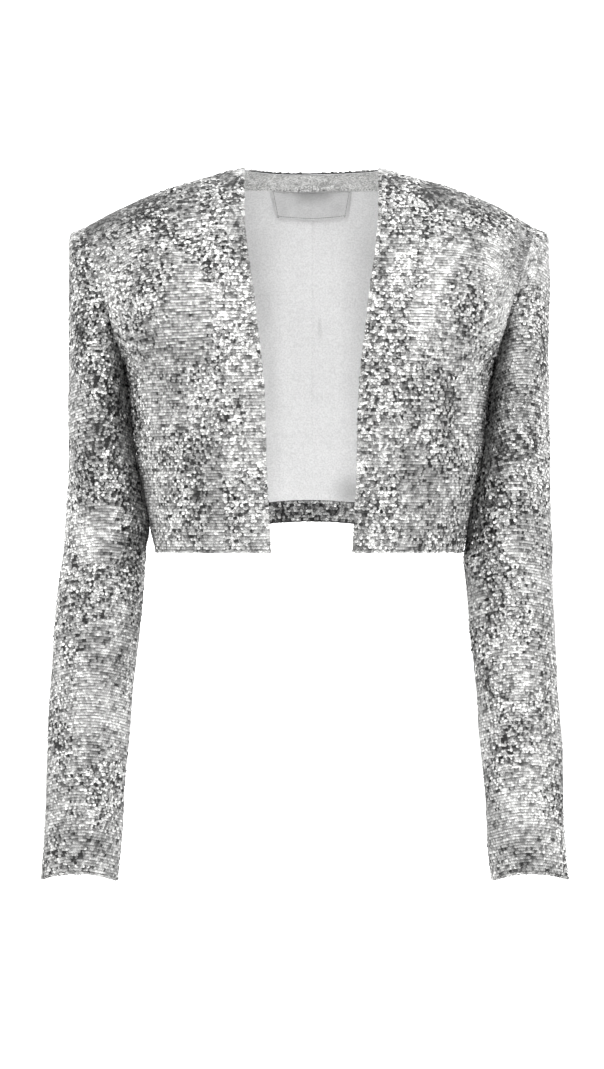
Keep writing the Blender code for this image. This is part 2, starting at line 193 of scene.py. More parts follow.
# How the sequins lie where the camera sees them, in soft strokes: x and z of one end and
# the other, half width, how much looser they hang there, and how much brighter they are,
# which is painted highlight where it is over nought and painted shade where it is under
STROKES = (
    (-0.121, -0.090, -0.108, -0.150, 0.026, -0.70, 0.10),
    (-0.163, -0.041, -0.098, -0.100, 0.010, 0.35, -0.18),
    (-0.098, -0.101, -0.070, -0.137, 0.009, 0.35, -0.18),
    (-0.116, -0.289, -0.090, -0.337, 0.010, 0.20, -0.22),
    (-0.130, -0.190, -0.090, -0.235, 0.020, 0.30, 0.05),
    (0.146, -0.079, 0.117, -0.128, 0.007, 0.00, 0.36),
    (0.117, -0.128, 0.100, -0.192, 0.007, 0.00, 0.32),
    (0.176, -0.066, 0.174, -0.111, 0.014, -0.25, 0.42),
    (0.136, -0.225, 0.128, -0.262, 0.013, 0.20, -0.24),
    (0.100, -0.240, 0.090, -0.330, 0.016, -0.50, 0.06),
    (-0.212, -0.352, -0.200, -0.380, 0.007, 0.00, 0.30),
    (-0.222, -0.402, -0.205, -0.418, 0.006, 0.00, 0.30),
    (0.184, -0.356, 0.220, -0.395, 0.006, 0.00, 0.34),
    (0.178, -0.598, 0.214, -0.630, 0.006, 0.00, 0.30),
    (0.199, -0.318, 0.201, -0.362, 0.010, 0.20, -0.26),
    (-0.160, -0.200, -0.136, -0.360, 0.014, 0.15, 0.10),
    (0.160, -0.200, 0.136, -0.360, 0.014, 0.15, 0.04),
    (-0.190, -0.200, -0.172, -0.360, 0.014, 0.45, -0.14),
    (0.190, -0.200, 0.172, -0.360, 0.014, 0.35, -0.14),
    (-0.215, -0.085, -0.196, -0.300, 0.024, 0.45, -0.20),
    (-0.076, -0.016, -0.060, -0.110, 0.012, -0.45, -0.28),
    (0.080, -0.016, 0.066, -0.120, 0.012, -0.45, -0.26),
    (0.096, -0.180, 0.112, -0.350, 0.030, 0.00, -0.18),
    (0.190, -0.440, 0.212, -0.600, 0.022, 0.00, 0.14),
    (-0.225, -0.066, -0.060, -0.003, 0.024, -0.10, -0.34),
    (0.225, -0.066, 0.060, -0.003, 0.024, -0.10, -0.32),
    (-0.063, 0.002, -0.063, -0.010, 0.012, -1.00, 0.60),
    (0.067, 0.002, 0.067, -0.010, 0.012, -1.00, 0.60),
    (-0.228, -0.430, -0.236, -0.600, 0.016, 0.50, -0.04),
    (-0.198, -0.430, -0.208, -0.600, 0.012, -0.35, 0.00),
    (-0.205, -0.053, -0.080, -0.006, 0.008, -0.25, 0.00),
    (0.205, -0.053, 0.080, -0.006, 0.008, -0.25, 0.00),
)

# The shoulder line from the neck point out to the armhole
SHOULDER_HEADINGS = ("x", "z")
SHOULDER = (
    (0.0650, 0.0000),
    (0.0870, -0.0057),
    (0.1100, -0.0118),
    (0.1380, -0.0205),
    (0.1650, -0.0310),
    (0.1920, -0.0437),
    (0.2165, -0.0580),
)

# The body from the shoulders to the hem. side is the half width at the side
# seam, form the half width that the rounding of front and back is drawn to,
# edge the front opening's half width, and the depths are those at the middle.
BODY_HEADINGS = ("z", "side", "form", "edge", "front", "back")
BODY = (
    (0.000, 0.2165, 0.3400, 0.0650, 0.084, 0.092),
    (-0.058, 0.2165, 0.3200, 0.0632, 0.092, 0.100),
    (-0.090, 0.2068, 0.2800, 0.0598, 0.100, 0.106),
    (-0.124, 0.1965, 0.2400, 0.0548, 0.109, 0.111),
    (-0.160, 0.1856, 0.2035, 0.0508, 0.117, 0.114),
    (-0.190, 0.1765, 0.1773, 0.0471, 0.121, 0.114),
    (-0.215, 0.1734, 0.1740, 0.0448, 0.1215, 0.112),
    (-0.261, 0.1682, 0.1682, 0.0432, 0.118, 0.106),
    (-0.286, 0.1645, 0.1645, 0.0427, 0.115, 0.103),
    (-0.308, 0.1595, 0.1595, 0.0421, 0.112, 0.100),
    (-0.328, 0.1555, 0.1555, 0.0408, 0.110, 0.098),
    (-0.371, 0.1476, 0.1476, 0.0386, 0.107, 0.095),
)

# A sleeve's rings, from the armhole to the cuff, for the wearer's left sleeve.
# Each ring is an ellipse between an outer and an inner point, with its depth
# in front of and behind that line, and lean moves the ring to the front.
SLEEVE_HEADINGS = ("outer_x", "outer_z", "inner_x", "inner_z", "front", "back", "lean")
SLEEVE = (
    (0.2171, -0.0582, 0.1771, -0.1902, 0.0600, 0.0600, 0.000),
    (0.2228, -0.0604, 0.1779, -0.1960, 0.0606, 0.0608, 0.000),
    (0.2274, -0.0622, 0.1771, -0.2030, 0.0614, 0.0616, 0.000),
    (0.2301, -0.0650, 0.1755, -0.2110, 0.0620, 0.0622, 0.000),
    (0.2312, -0.0745, 0.1742, -0.2210, 0.0624, 0.0628, 0.000),
    (0.2313, -0.0990, 0.1729, -0.2320, 0.0627, 0.0632, 0.000),
    (0.2312, -0.1360, 0.1714, -0.2440, 0.0630, 0.0634, 0.000),
    (0.2311, -0.1710, 0.1699, -0.2570, 0.0628, 0.0630, -0.001),
    (0.2312, -0.2080, 0.1679, -0.2720, 0.0618, 0.0618, -0.001),
    (0.2315, -0.2440, 0.1651, -0.2890, 0.0602, 0.0600, -0.002),
    (0.2318, -0.2780, 0.1609, -0.3070, 0.0580, 0.0577, -0.002),
    (0.2323, -0.3090, 0.1572, -0.3260, 0.0556, 0.0552, -0.003),
    (0.2336, -0.3380, 0.1545, -0.3460, 0.0532, 0.0528, -0.003),
    (0.2352, -0.3600, 0.1543, -0.3630, 0.0512, 0.0508, -0.004),
    (0.2360, -0.3760, 0.1539, -0.3770, 0.0502, 0.0497, -0.005),
    (0.2372, -0.3910, 0.1549, -0.3920, 0.0493, 0.0489, -0.006),
    (0.2384, -0.4070, 0.1562, -0.4080, 0.0486, 0.0482, -0.007),
    (0.2396, -0.4270, 0.1581, -0.4280, 0.0477, 0.0473, -0.009),
    (0.2415, -0.4560, 0.1608, -0.4570, 0.0464, 0.0460, -0.011),
    (0.2436, -0.4950, 0.1642, -0.4960, 0.0448, 0.0444, -0.013),
    (0.2459, -0.5330, 0.1676, -0.5340, 0.0432, 0.0428, -0.015),
    (0.2478, -0.5720, 0.1710, -0.5730, 0.0417, 0.0413, -0.017),
    (0.2488, -0.6105, 0.1744, -0.6115, 0.0404, 0.0400, -0.019),
    (0.2502, -0.6490, 0.1768, -0.6500, 0.0394, 0.0391, -0.021),
    (0.2526, -0.6850, 0.1790, -0.6860, 0.0388, 0.0386, -0.022),
)

# Soft folds on the two fronts, a ridge where height is over nought and a
# trough where it is under: x and z of one end and the other, width and height.
FRONT_FOLDS = {
    RIGHT: (
        (0.165, -0.045, 0.098, -0.100, 0.016, -0.0022),
        (0.098, -0.100, 0.070, -0.150, 0.014, -0.0018),
        (0.128, -0.090, 0.108, -0.165, 0.026, 0.0024),
        (0.116, -0.285, 0.090, -0.340, 0.015, -0.0018),
    ),
    LEFT: (
        (0.178, -0.075, 0.150, -0.125, 0.016, 0.0022),
        (0.147, -0.085, 0.118, -0.130, 0.012, 0.0018),
        (0.110, -0.130, 0.098, -0.205, 0.014, 0.0018),
        (0.150, -0.220, 0.120, -0.260, 0.022, -0.0020),
    ),
}

# Creases round the elbow, in the sleeve's angle round from its outer line (the
# front is at 90 degrees) and z: one end and the other, width and height.
SLEEVE_CREASES = {
    RIGHT: (
        (30.0, -0.362, 140.0, -0.368, 0.0080, 0.0020),
        (40.0, -0.386, 150.0, -0.380, 0.0080, -0.0020),
        (30.0, -0.408, 120.0, -0.412, 0.0080, 0.0018),
        (200.0, -0.330, 320.0, -0.350, 0.0090, -0.0018),
    ),
    LEFT: (
        (110.0, -0.352, 30.0, -0.396, 0.0090, 0.0020),
        (150.0, -0.366, 60.0, -0.420, 0.0080, -0.0018),
        (130.0, -0.596, 60.0, -0.632, 0.0100, 0.0016),
        (205.0, -0.335, 320.0, -0.352, 0.0090, -0.0018),
    ),
}

# Soft folds on the back, in the same way, where x is the wearer's left over nought
BACK_FOLDS = (
    (-0.150, -0.100, -0.060, -0.150, 0.020, 0.0016),
    (0.155, -0.110, 0.070, -0.175, 0.018, -0.0016),
    (-0.120, -0.260, -0.100, -0.340, 0.016, -0.0015),
    (0.100, -0.250, 0.115, -0.335, 0.018, 0.0015),
    (-0.030, -0.210, 0.035, -0.235, 0.022, 0.0012),
)

# Creases of the back lining, the same way, seen from the middle line of the body
LINING_CREASES = (
    (0.0080, -0.136, 0.0095, -0.166, 0.0018, -0.0022),
    (0.0300, -0.318, 0.0430, -0.300, 0.0060, -0.0024),
    (-0.0350, -0.150, -0.0260, -0.250, 0.0100, -0.0022),
    (0.0100, -0.200, -0.0150, -0.270, 0.0110, -0.0016),
)

# Painted shade on the lining and the label, as soft dark spots where shadows and fold shade fall:
# x and z, half width, half height and light left
LINING_SPOTS = (
    (0.0430, -0.312, 0.031, 0.025, 0.64),
    (0.0105, -0.150, 0.003, 0.022, 0.86),
    (-0.0430, -0.132, 0.012, 0.032, 0.92),
    (-0.0380, -0.205, 0.010, 0.050, 0.93),
)
LABEL_SPOTS = ((0.003, -0.017, 0.034, 0.017, 0.56), (0.003, -0.017, 0.060, 0.007, 0.74))

# Where the lining's painted shade grows darker to the sides: from and to, across and down
ASIDE_ACROSS = (0.026, 0.060)
ASIDE_DOWN = (-0.09, -0.03)

# Relief inside the back: height and width of the lining's middle seam; height, place and width
# of the soft fold beside it, and where that starts; and how far the label bows at its middle
LINING_SEAM = (0.0007, 0.0011)
LINING_FOLD = (-0.0009, 0.008, 0.006)
LINING_FOLD_TOP = (-0.10, -0.16)
LABEL_BOW = 0.0006

# Foil: its places for four tones, how warm its grey is, how fast the rows' shade changes along
# them and from row to row, and the usual range of a fine noise
TONE_STOPS = (0.0, 0.3, 0.65, 1.0)
FOIL_WARMTH = 0.985
SHADE_RUNS = (90.0, 90.0, 360.0)
FINE_NOISE = (0.35, 0.65)

# Lengths of the patches of loose and bright sequins, length and height of the short bright runs
# along a row, and how each piece's patches are set apart from the others'
BROAD_PATCH, FINE_PATCH, GLOW_PATCH = 0.055, 0.017, 0.040
RUN_LENGTH, RUN_HEIGHT = 0.008, 0.0028
PATCH_SHIFT = (7.3, 1.7, 3.1)

# How loosely the sequins hang and how bright they are at the middle, and how much each kind of
# patch adds. The soft strokes, with their looseness and their painted highlights and shade,
# count in front of the body's middle, from one depth to the other.
HANG, HANG_BROAD, HANG_FINE = 0.45, 1.2, 0.7
BRIGHT, BRIGHT_GLOW, BRIGHT_FINE, BRIGHT_RUN = 0.5, 0.30, 0.18, 0.46
SEEN_FROM = (0.0, -0.02)

# How much looser and brighter sequins are than on the fronts
BAND_BIAS = (0.35, 0.10)
SLEEVE_BIAS = (0.10, 0.0)
FACING_BIAS = (0.30, 0.25)
TURNING_BIAS = (0.40, -0.08)

# What differs from the sequin tree's own sizes on the facing, and on the back
SPARKLE = {
    "Corners": 6,
    "Cup Depth": 0.0001,
    "Loose Scatter": 0.0002,
    "Loose Spread": 0.50,
    "Loose Tilt": math.radians(12),
}
BACK_CORNERS = 6

# Stitches that differ from the stitch tree's own
LINING_STITCHES = {"Stitch Length": 0.0019, "Stitch Gap": 0.0014, "Thread Width": 0.0004}
LABEL_STITCHES = {"Stitch Length": 0.0014, "Stitch Gap": 0.0004, "Thread Width": 0.0005}
ARMHOLE_STITCHES = {"Stitch Length": 0.0018, "Stitch Gap": 0.0022, "Thread Width": 0.0005}

# Where an armhole's stitches start and how far they run, in half turns from its outer point
STITCHED_ARC = (0.42, 1.16)

# How far sewing stands off the inside of its cloth
THREAD_OFF = 0.0001
HEM_THREAD_OFF = 0.0003
SPARKLE_OFF = 0.0002
GLINTS_OFF = 0.0005


def smooth_curve(places, values):
    """A function that reads a smooth curve through the values given at rising places."""
    last = len(places) - 1
    slopes = [
        (values[min(i + 1, last)] - values[max(i - 1, 0)])
        / (places[min(i + 1, last)] - places[max(i - 1, 0)])
        for i in range(last + 1)
    ]

    def read(at):
        at = min(max(at, places[0]), places[-1])
        i = max(bisect.bisect_left(places, at) - 1, 0)
        width = places[i + 1] - places[i]
        share = (at - places[i]) / width
        square, cube = share**2, share**3
        return (
            (2 * cube - 3 * square + 1) * values[i]
            + (cube - 2 * square + share) * width * slopes[i]
            + (3 * square - 2 * cube) * values[i + 1]
            + (cube - square) * width * slopes[i + 1]
        )

    return read


def table_curves(columns, table, key):
    """One smooth curve for each column of a table, read by the values of its key column."""
    rows = sorted(table, key=lambda row: row[columns.index(key)])
    places = [row[columns.index(key)] for row in rows]
    return {name: smooth_curve(places, [row[i] for row in rows]) for i, name in enumerate(columns)}


SHOULDER_CURVES = table_curves(SHOULDER_HEADINGS, SHOULDER, "x")
BODY_CURVES = table_curves(BODY_HEADINGS, BODY, "z")
SLEEVE_CURVES = table_curves(
    ("ring",) + SLEEVE_HEADINGS, [(i,) + row for i, row in enumerate(SLEEVE)], "ring"
)


def soft_step(low, high, at):
    """0 at low, 1 at high, and smooth between them."""
    share = min(max((at - low) / (high - low), 0.0), 1.0)
    return share * share * (3 - 2 * share)


def side_line(z):
    """Half width at the armhole, which is straight seen from the front, or at the side seam."""
    if z < UNDERARM[1]:
        return BODY_CURVES["side"](z)
    share = min((z - UNDERARM[1]) / (SHOULDER_TIP[1] - UNDERARM[1]), 1.0)
    return UNDERARM[0] + share * (SHOULDER_TIP[0] - UNDERARM[0])


def shoulder_z(x):
    """Height of the shoulder line, or of the level back neck between the neck points."""
    return 0.0 if x < NECK_HALF else SHOULDER_CURVES["z"](x)


def spread(start, end, across, z):
    """Even steps across at the shoulder, which bunch up towards the side seam below the arm."""
    bunched = soft_step(BUNCH_FROM, BUNCH_TO, z)
    share = (1 - bunched) * across + bunched * math.sin(across * math.pi / 2)
    return start + (end - start) * share


def band_x(across, z):
    return BODY_CURVES["edge"](z) + BAND_WIDTH * across


def front_x(across, z):
    return spread(band_x(1, z) + SEAM_GAP, side_line(z), across, z)


def back_x(across, z):
    return spread(0.0, side_line(z), across, z)


def round_over(drop, rounding):
    """Share of the full depth that the cloth has reached so far below the shoulder line."""
    share = min(max(drop / rounding, 0.0), 1.0)
    return math.sqrt(1 - (1 - share) ** 2)


def neck_drop(x):
    """The drop that gives the back neck its round line, nought from the neck points outward."""
    if x >= NECK_HALF:
        return 0.0
    share = (math.hypot(x, NECK_ROUND) - NECK_ROUND) / (math.hypot(NECK_HALF, NECK_ROUND) - NECK_ROUND)
    depth = NECK_DEPTH * math.sqrt(1 - share) / BODY_CURVES["back"](0.0)
    return ROUNDING[BACK] * (1 - math.sqrt(1 - depth**2))


def armhole_depth(z):
    """Half depth of the armhole at height z, nought at the shoulder tip and the underarm."""
    middle = (SHOULDER_TIP[1] + UNDERARM[1]) / 2
    half = (SHOULDER_TIP[1] - UNDERARM[1]) / 2
    return ARMHOLE_DEPTH * math.sqrt(max(1 - ((z - middle) / half) ** 2, 0.0))


def fold_height(folds, x, z):
    """Height of all folds in a table at a point: each a soft ridge that fades at both ends."""
    total = 0.0
    for x1, z1, x2, z2, width, height in folds:
        run = Vector((x2 - x1, z2 - z1))
        off = Vector((x - x1, z - z1))
        along = off.dot(run) / run.length_squared
        beside = (off.x * run.y - off.y * run.x) / run.length
        fade = soft_step(-FOLD_FADE, FOLD_FADE, along) * soft_step(1 + FOLD_FADE, 1 - FOLD_FADE, along)
        total += height * fade * math.exp(-2 * (beside / width) ** 2)
    return total


def hem_z(face, across):
    """The hem's height: level in front, and higher at the middle of the back."""
    if face == FRONT:
        return HEM_Z
    return HEM_Z + BACK_HEM_RISE * (0.5 + 0.5 * math.cos(math.pi * across))


def body_form(face, x_at, across, down):
    """x, depth and z of the rounded form, before it is drawn in to meet the armhole."""
    x_top = x_at(across, 0.0)
    for _ in range(SETTLING_ROUNDS):
        x_top = x_at(across, shoulder_z(x_top))
    z_top = shoulder_z(x_top)
    z = z_top + (hem_z(face, across) - z_top) * down
    x = x_at(across, z)
    drop = z_top - z + (neck_drop(x_top) if face == BACK else 0.0)
    full = BODY_CURVES["front" if face == FRONT else "back"](z)
    form = max(side_line(z), BODY_CURVES["form"](z))
    flat = max(1 - (x / form) ** SQUARENESS, 0.0) ** (1 / SQUARENESS)
    return x, full * flat * round_over(drop, ROUNDING[face]), z


def body_point(side, face, x_at, across, down):
    """A point on the outside of the body, half a seam gap away from the shoulder and side seams."""
    x, depth, z = body_form(face, x_at, across, down)
    if x_at is not band_x:
        _, edge_depth, edge_z = body_form(face, x_at, 1.0, down)
        depth += across**ARMHOLE_PULL * (armhole_depth(edge_z) - edge_depth)
    room = soft_step(0.0, FOLD_DEPTH, depth) * soft_step(*FOLD_DOWN, down)
    if face == FRONT:
        depth += room * fold_height(FRONT_FOLDS[side], x, z)
    else:
        depth += room * (1 - across**2) * fold_height(BACK_FOLDS, side * x, z)
    shift = CENTRE_SHIFT * (1 - x / side_line(z))
    return Vector((side * x + shift, face * (depth + SEAM_GAP / 2), z))


def sleeve_point(side, angle, ring):
    """A point on the outside of a sleeve: angle from its outer line, round by the front."""
    row = {name: curve(ring) for name, curve in SLEEVE_CURVES.items()}
    outer = Vector((row["outer_x"], row["outer_z"]))
    inner = Vector((row["inner_x"], row["inner_z"]))
    middle, half = (outer + inner) / 2, (outer - inner) / 2
    in_front = math.sin(angle) > 0
    depth = row["front"] if in_front else row["back"]
    arch = CUFF_ARCH_FRONT if in_front else CUFF_ARCH_BACK
    z = middle.y + half.y * math.cos(angle)
    z += arch * math.sin(angle) ** 2 * soft_step(CUFF_ARCH_FROM, SLEEVE[-1][1], z)
    per_degree = math.radians(depth)
    creases = [
        (angle1 * per_degree, z1, angle2 * per_degree, z2, width, height)
        for angle1, z1, angle2, z2, width, height in SLEEVE_CREASES[side]
    ]
    bulge = 1 + fold_height(creases, math.degrees(angle) % 360 * per_degree, z) / depth
    outward = (1 + math.cos(angle)) / 2
    drift = outward * soft_step(*OUTER_DRIFT, z) + (1 - outward) * soft_step(*INNER_DRIFT, z)
    x = middle.x + half.x * math.cos(angle) * bulge
    x = side * x + SLEEVE_DRIFT * drift
    return Vector((x, row["lean"] - depth * math.sin(angle) * bulge, z))


def back_point(across, down):
    """A point of the back, where across runs from -1 at one armhole to 1 at the other."""
    return body_point(LEFT if across >= 0 else RIGHT, BACK, back_x, abs(across), down)


def down_to(z, across):
    """The share down the back at which it is at height z."""
    top = shoulder_z(abs(across) * SHOULDER_TIP[0])
    return (top - z) / (top - hem_z(BACK, abs(across)))


def unit(vectors):
    return vectors / np.maximum(np.linalg.norm(vectors, axis=-1, keepdims=True), 1e-12)


def walked(points, axis):
    """How far each point of a net is along its line of the net, from the first one."""
    steps = np.linalg.norm(np.diff(points, axis=axis), axis=-1)
    return np.insert(np.cumsum(steps, axis=axis), 0, 0.0, axis=axis)


def ripple(point):
    """Height of the cloth's soft unevenness at a point, the same on both sides of a seam."""
    place = Vector([at * stretch for at, stretch in zip(point, RIPPLE_STRETCH)])
    return sum(height * noise.noise(place / length) for height, length in RIPPLES)


def touching(point):
    """1 where a sleeve and the body hang against each other, and 0 away from there."""
    x, y, z = abs(point[0]), abs(point[1]), point[2]
    return (
        soft_step(TOUCH_HALF[1], TOUCH_HALF[0], y)
        * soft_step(*TOUCH_TOP, z)
        * soft_step(*TOUCH_FOOT, z)
        * soft_step(TOUCH_X[0], TOUCH_X[1], x)
        * soft_step(TOUCH_X[3], TOUCH_X[2], x)
    )


class Skin:
    """The outside of a piece as a fine net of points, rows down and columns across, with the
    outward and downward directions at each point. turn is 1 or -1 and sets which way is out.
    """

    def __init__(self, point, acrosses, downs, turn, ring=False, relief=None):
        self.turn, self.ring = turn, ring
        self.points = np.array([[point(across, down(across)) for across in acrosses] for down in downs])
        self.look_round()
        self.touch = np.array([[touching(p) for p in row] for row in self.points])
        heights = np.array([[ripple(p) for p in row] for row in self.points])
        heights = heights * (1 - self.touch) + TOUCH_SWELL * self.touch
        self.points = self.points + self.out * heights[..., None]
        if relief:
            heights = [[relief(p) for p in row] for row in self.points]
            self.points = self.points + self.out * np.array(heights)[..., None]
        self.look_round()

    def look_round(self):
        if self.ring:
            over = np.roll(self.points, -1, 1) - np.roll(self.points, 1, 1)
        else:
            over = np.gradient(self.points, axis=1)
        self.down = unit(np.gradient(self.points, axis=0))
        self.out = unit(self.turn * np.cross(over, self.down))

    def dip(self, top=0.0, start=0.0, end=0.0):
        """Draws the cloth inward along its seams: how much at each edge of the net, as a number
        or, for the top, as one number for each column.
        """
        along, beside = walked(self.points, 0), walked(self.points, 1)
        depth = sum(
            share * np.exp(-((distance / SEAM_DIP_WIDTH) ** 2))
            for share, distance in ((top, along), (start, beside), (end, beside[:, -1:] - beside))
        )
        depth = SEAM_DIP * np.minimum(depth, 1) * (1 - self.touch)
        self.points = self.points - self.out * depth[..., None]
        self.look_round()
        return self


def steady(shares):
    """The same places down for every place across."""
    return [partial(lambda share, across: share, share) for share in shares]


def graded(count, power):
    """Shares from 0 to 1, closest together at 0, or even where power is 1."""
    return [(k / count) ** power for k in range(count + 1)]


def both_ways(count):
    """Even shares from -1 to 1."""
    return [k / count for k in range(-count, count + 1)]


def placed(name, data):
    """A new object in the scene, for its mesh, light or camera."""
    thing = bpy.data.objects.new(name, data)
    bpy.context.scene.collection.objects.link(thing)
    return thing


def cloth_object(name, mesh, material):
    mesh.materials.append(material)
    return placed(name, mesh)


def reached(points, edges):
    """A net of points carried past its sewn edges, to meet the next piece in the seam."""
    for edge, axis, last, before in (("top", 0, 0, 1), ("start", 1, 0, 1), ("end", 1, -1, -2)):
        if edge in edges:
            lines = np.moveaxis(points, axis, 0)
            lines[last] += unit(lines[last] - lines[before]) * SEAM_REACH
    return points


def shell(name, skin, layer, finish, step=(1, 1), sewn=()):
    """A thin closed wall of cloth under a skin: layer is its depth inward and its thickness, and
    sewn names its sewn edges. Its UV map is in metres, across and down the cloth, so that a
    weave runs with it.
    """
    depth, thickness = layer
    pick_rows = sorted(set(range(0, skin.points.shape[0], step[0])) | {skin.points.shape[0] - 1})
    pick_columns = list(range(0, skin.points.shape[1], step[1]))
    if not skin.ring:
        pick_columns = sorted(set(pick_columns) | {skin.points.shape[1] - 1})
    points = reached(skin.points[np.ix_(pick_rows, pick_columns)].copy(), sewn)
    out = skin.out[np.ix_(pick_rows, pick_columns)]
    rows, columns = points.shape[:2]
    verts = np.concatenate(
        [(points - out * depth).reshape(-1, 3), (points - out * (depth + thickness)).reshape(-1, 3)]
    )
    wrapped = np.hstack([points, points[:, :1]]) if skin.ring else points
    beside, along = walked(wrapped, 1), walked(wrapped, 0)

    faces, corners = [], []

    def add(*spots):
        spots = spots if skin.turn > 0 else spots[::-1]
        faces.append([sheet * rows * columns + r * columns + c % columns for sheet, r, c in spots])
        corners.extend((beside[r, c], along[r, c]) for _, r, c in spots)

    cells = range(columns if skin.ring else columns - 1)
    for r in range(rows - 1):
        for c in cells:
            add((0, r, c), (0, r, c + 1), (0, r + 1, c + 1), (0, r + 1, c))
            add((1, r + 1, c), (1, r + 1, c + 1), (1, r, c + 1), (1, r, c))
    foot = rows - 1
    for c in cells:
        add((0, 0, c + 1), (0, 0, c), (1, 0, c), (1, 0, c + 1))
        add((0, foot, c), (0, foot, c + 1), (1, foot, c + 1), (1, foot, c))
    if not skin.ring:
        end = columns - 1
        for r in range(rows - 1):
            add((0, r, 0), (0, r + 1, 0), (1, r + 1, 0), (1, r, 0))
            add((0, r + 1, end), (0, r, end), (1, r, end), (1, r + 1, end))

    mesh = bpy.data.meshes.new(name)
    mesh.from_pydata(verts.tolist(), [], faces)
    mesh.uv_layers.new(name="cloth").data.foreach_set("uv", np.array(corners).ravel())
    mesh.shade_smooth()
    mesh.set_sharp_from_angle(angle=SHARP_EDGE)
    return cloth_object(name, mesh, FINISHES[finish])


def finer_columns(values, factor):
    """A net with points put in between its columns."""
    count = values.shape[1]
    old = np.arange(count)
    new = np.linspace(0, count - 1, (count - 1) * factor + 1)
    low = np.minimum(new.astype(int), count - 2)
    share = (new - old[low])[None, :, None]
    return values[:, low] * (1 - share) + values[:, low + 1] * share


def turned(places, out, down, inward):
    """The way that sequins face on cloth that faces out: inward is how much those beside a
    hanging sleeve turn.
    """
    off = np.abs(np.abs(places[:, 0]) - [side_line(z) for z in places[:, 2]])
    beside = [
        soft_step(BESIDE_WIDTH, 0.0, d) * soft_step(*BESIDE_TOP, z) * soft_step(*BESIDE_FOOT, z)
        for d, z in zip(off, places[:, 2])
    ]
    turn = TURN_ALL + inward * TURN_BESIDE * np.array(beside)
    flat = np.clip((out[:, 2] - FLAT_FROM) / FLAT_OVER, 0, 1)
    facing = out + down * (TURN_FLAT * flat)[:, None]
    facing[:, 1] += turn * np.clip(FRONT_OR_BACK * out[:, 1], -1, 1)
    return unit(facing)


def sequin_places(skin, cut, depth, face=1, sewn=(), inward=1.0):
    """Places for sequins in level rows, counted up along the cloth from the skin's foot. sewn
    names its sewn edges, which the rows reach, and face is -1 on the inside of the cloth.
    """
    top_margin, start_margin, end_margin = (
        SEWN_MARGIN if edge in sewn else cut["margin"] for edge in ("top", "start", "end")
    )
    nets = [skin.points - skin.out * depth, skin.out * face, skin.down]
    if skin.ring:
        nets = [np.hstack([net, net[:, :1]]) for net in nets]
    places, out, down = [finer_columns(net, FINER_ROWS)[::-1] for net in nets]
    along = walked(places, 0)
    top = along[-1]
    heights = np.arange(cut["margin"], top.max() - top_margin, cut["rows"])
    net = np.concatenate([places, out, down], axis=2)
    columns = [
        [np.interp(heights, along[:, c], net[:, c, k]) for k in range(9)] for c in range(len(top))
    ]
    net = np.array(columns).transpose(2, 0, 1)
    found = []
    for j, row in enumerate(net):
        beside = walked(row[:, :3], 0)
        first, last = (0.0, beside[-1]) if skin.ring else (start_margin, beside[-1] - end_margin)
        count = round((last - first) / cut["pitch"])
        steps = np.arange(count + (0 if skin.ring or j % 2 else 1)) + 0.5 * (j % 2)
        at = first + steps * (last - first) / count
        at = at[heights[j] <= np.interp(at, beside, top) - top_margin]
        found.append(np.array([np.interp(at, beside, row[:, k]) for k in range(9)]).T)
    found = np.concatenate(found)
    places, out, down = found[:, :3], unit(found[:, 3:6]), unit(found[:, 6:9])
    return places, turned(places, out, down, inward) if face > 0 else out, down


def edge_places(skin, edge, cut, columns=slice(None), roll=EDGE_ROLL):
    """Places for a row of sequins along an edge of the cloth: its top, foot or start. roll is
    how far they turn over it.
    """
    if edge in ("top", "foot"):
        r = 0 if edge == "top" else -1
        line, out, down = skin.points[r, columns], skin.out[r, columns], skin.down[r, columns]
        off = down * (1 if edge == "foot" else -1)
        if skin.ring:
            line, out, off, down = (np.vstack([a, a[:1]]) for a in (line, out, off, down))
    else:
        line, out, down = skin.points[:, 0], skin.out[:, 0], skin.down[:, 0]
        off = unit(np.cross(out, down)) * skin.turn
    beside = walked(line, 0)
    step = EDGE_CLOSER * cut["pitch"]
    at = np.arange(step / 2, beside[-1], step)
    facing = out * math.cos(roll) + off * math.sin(roll)
    place = line - out * SEQUIN_SEAT - off * EDGE_INSET * cut["width"]
    read = [np.array([np.interp(at, beside, a[:, k]) for k in range(3)]).T for a in (place, facing, down)]
    places, out, down = read[0], unit(read[1]), unit(read[2])
    return places, turned(places, out, down, 0.0), down


def joined(*sets):
    return [np.concatenate(parts) for parts in zip(*sets)]


def points_mesh(name, places, out, down, loose, sheen):
    """Loose points that carry what the sequin tree reads."""
    mesh = bpy.data.meshes.new(name)
    mesh.from_pydata(places.tolist(), [], [])
    for label, kind, key, values in (
        ("out", "FLOAT_VECTOR", "vector", out),
        ("down", "FLOAT_VECTOR", "vector", down),
        ("loose", "FLOAT", "value", loose),
        ("sheen", "FLOAT", "value", sheen),
    ):
        mesh.attributes.new(label, kind, "POINT").data.foreach_set(key, np.ravel(values))
    return mesh


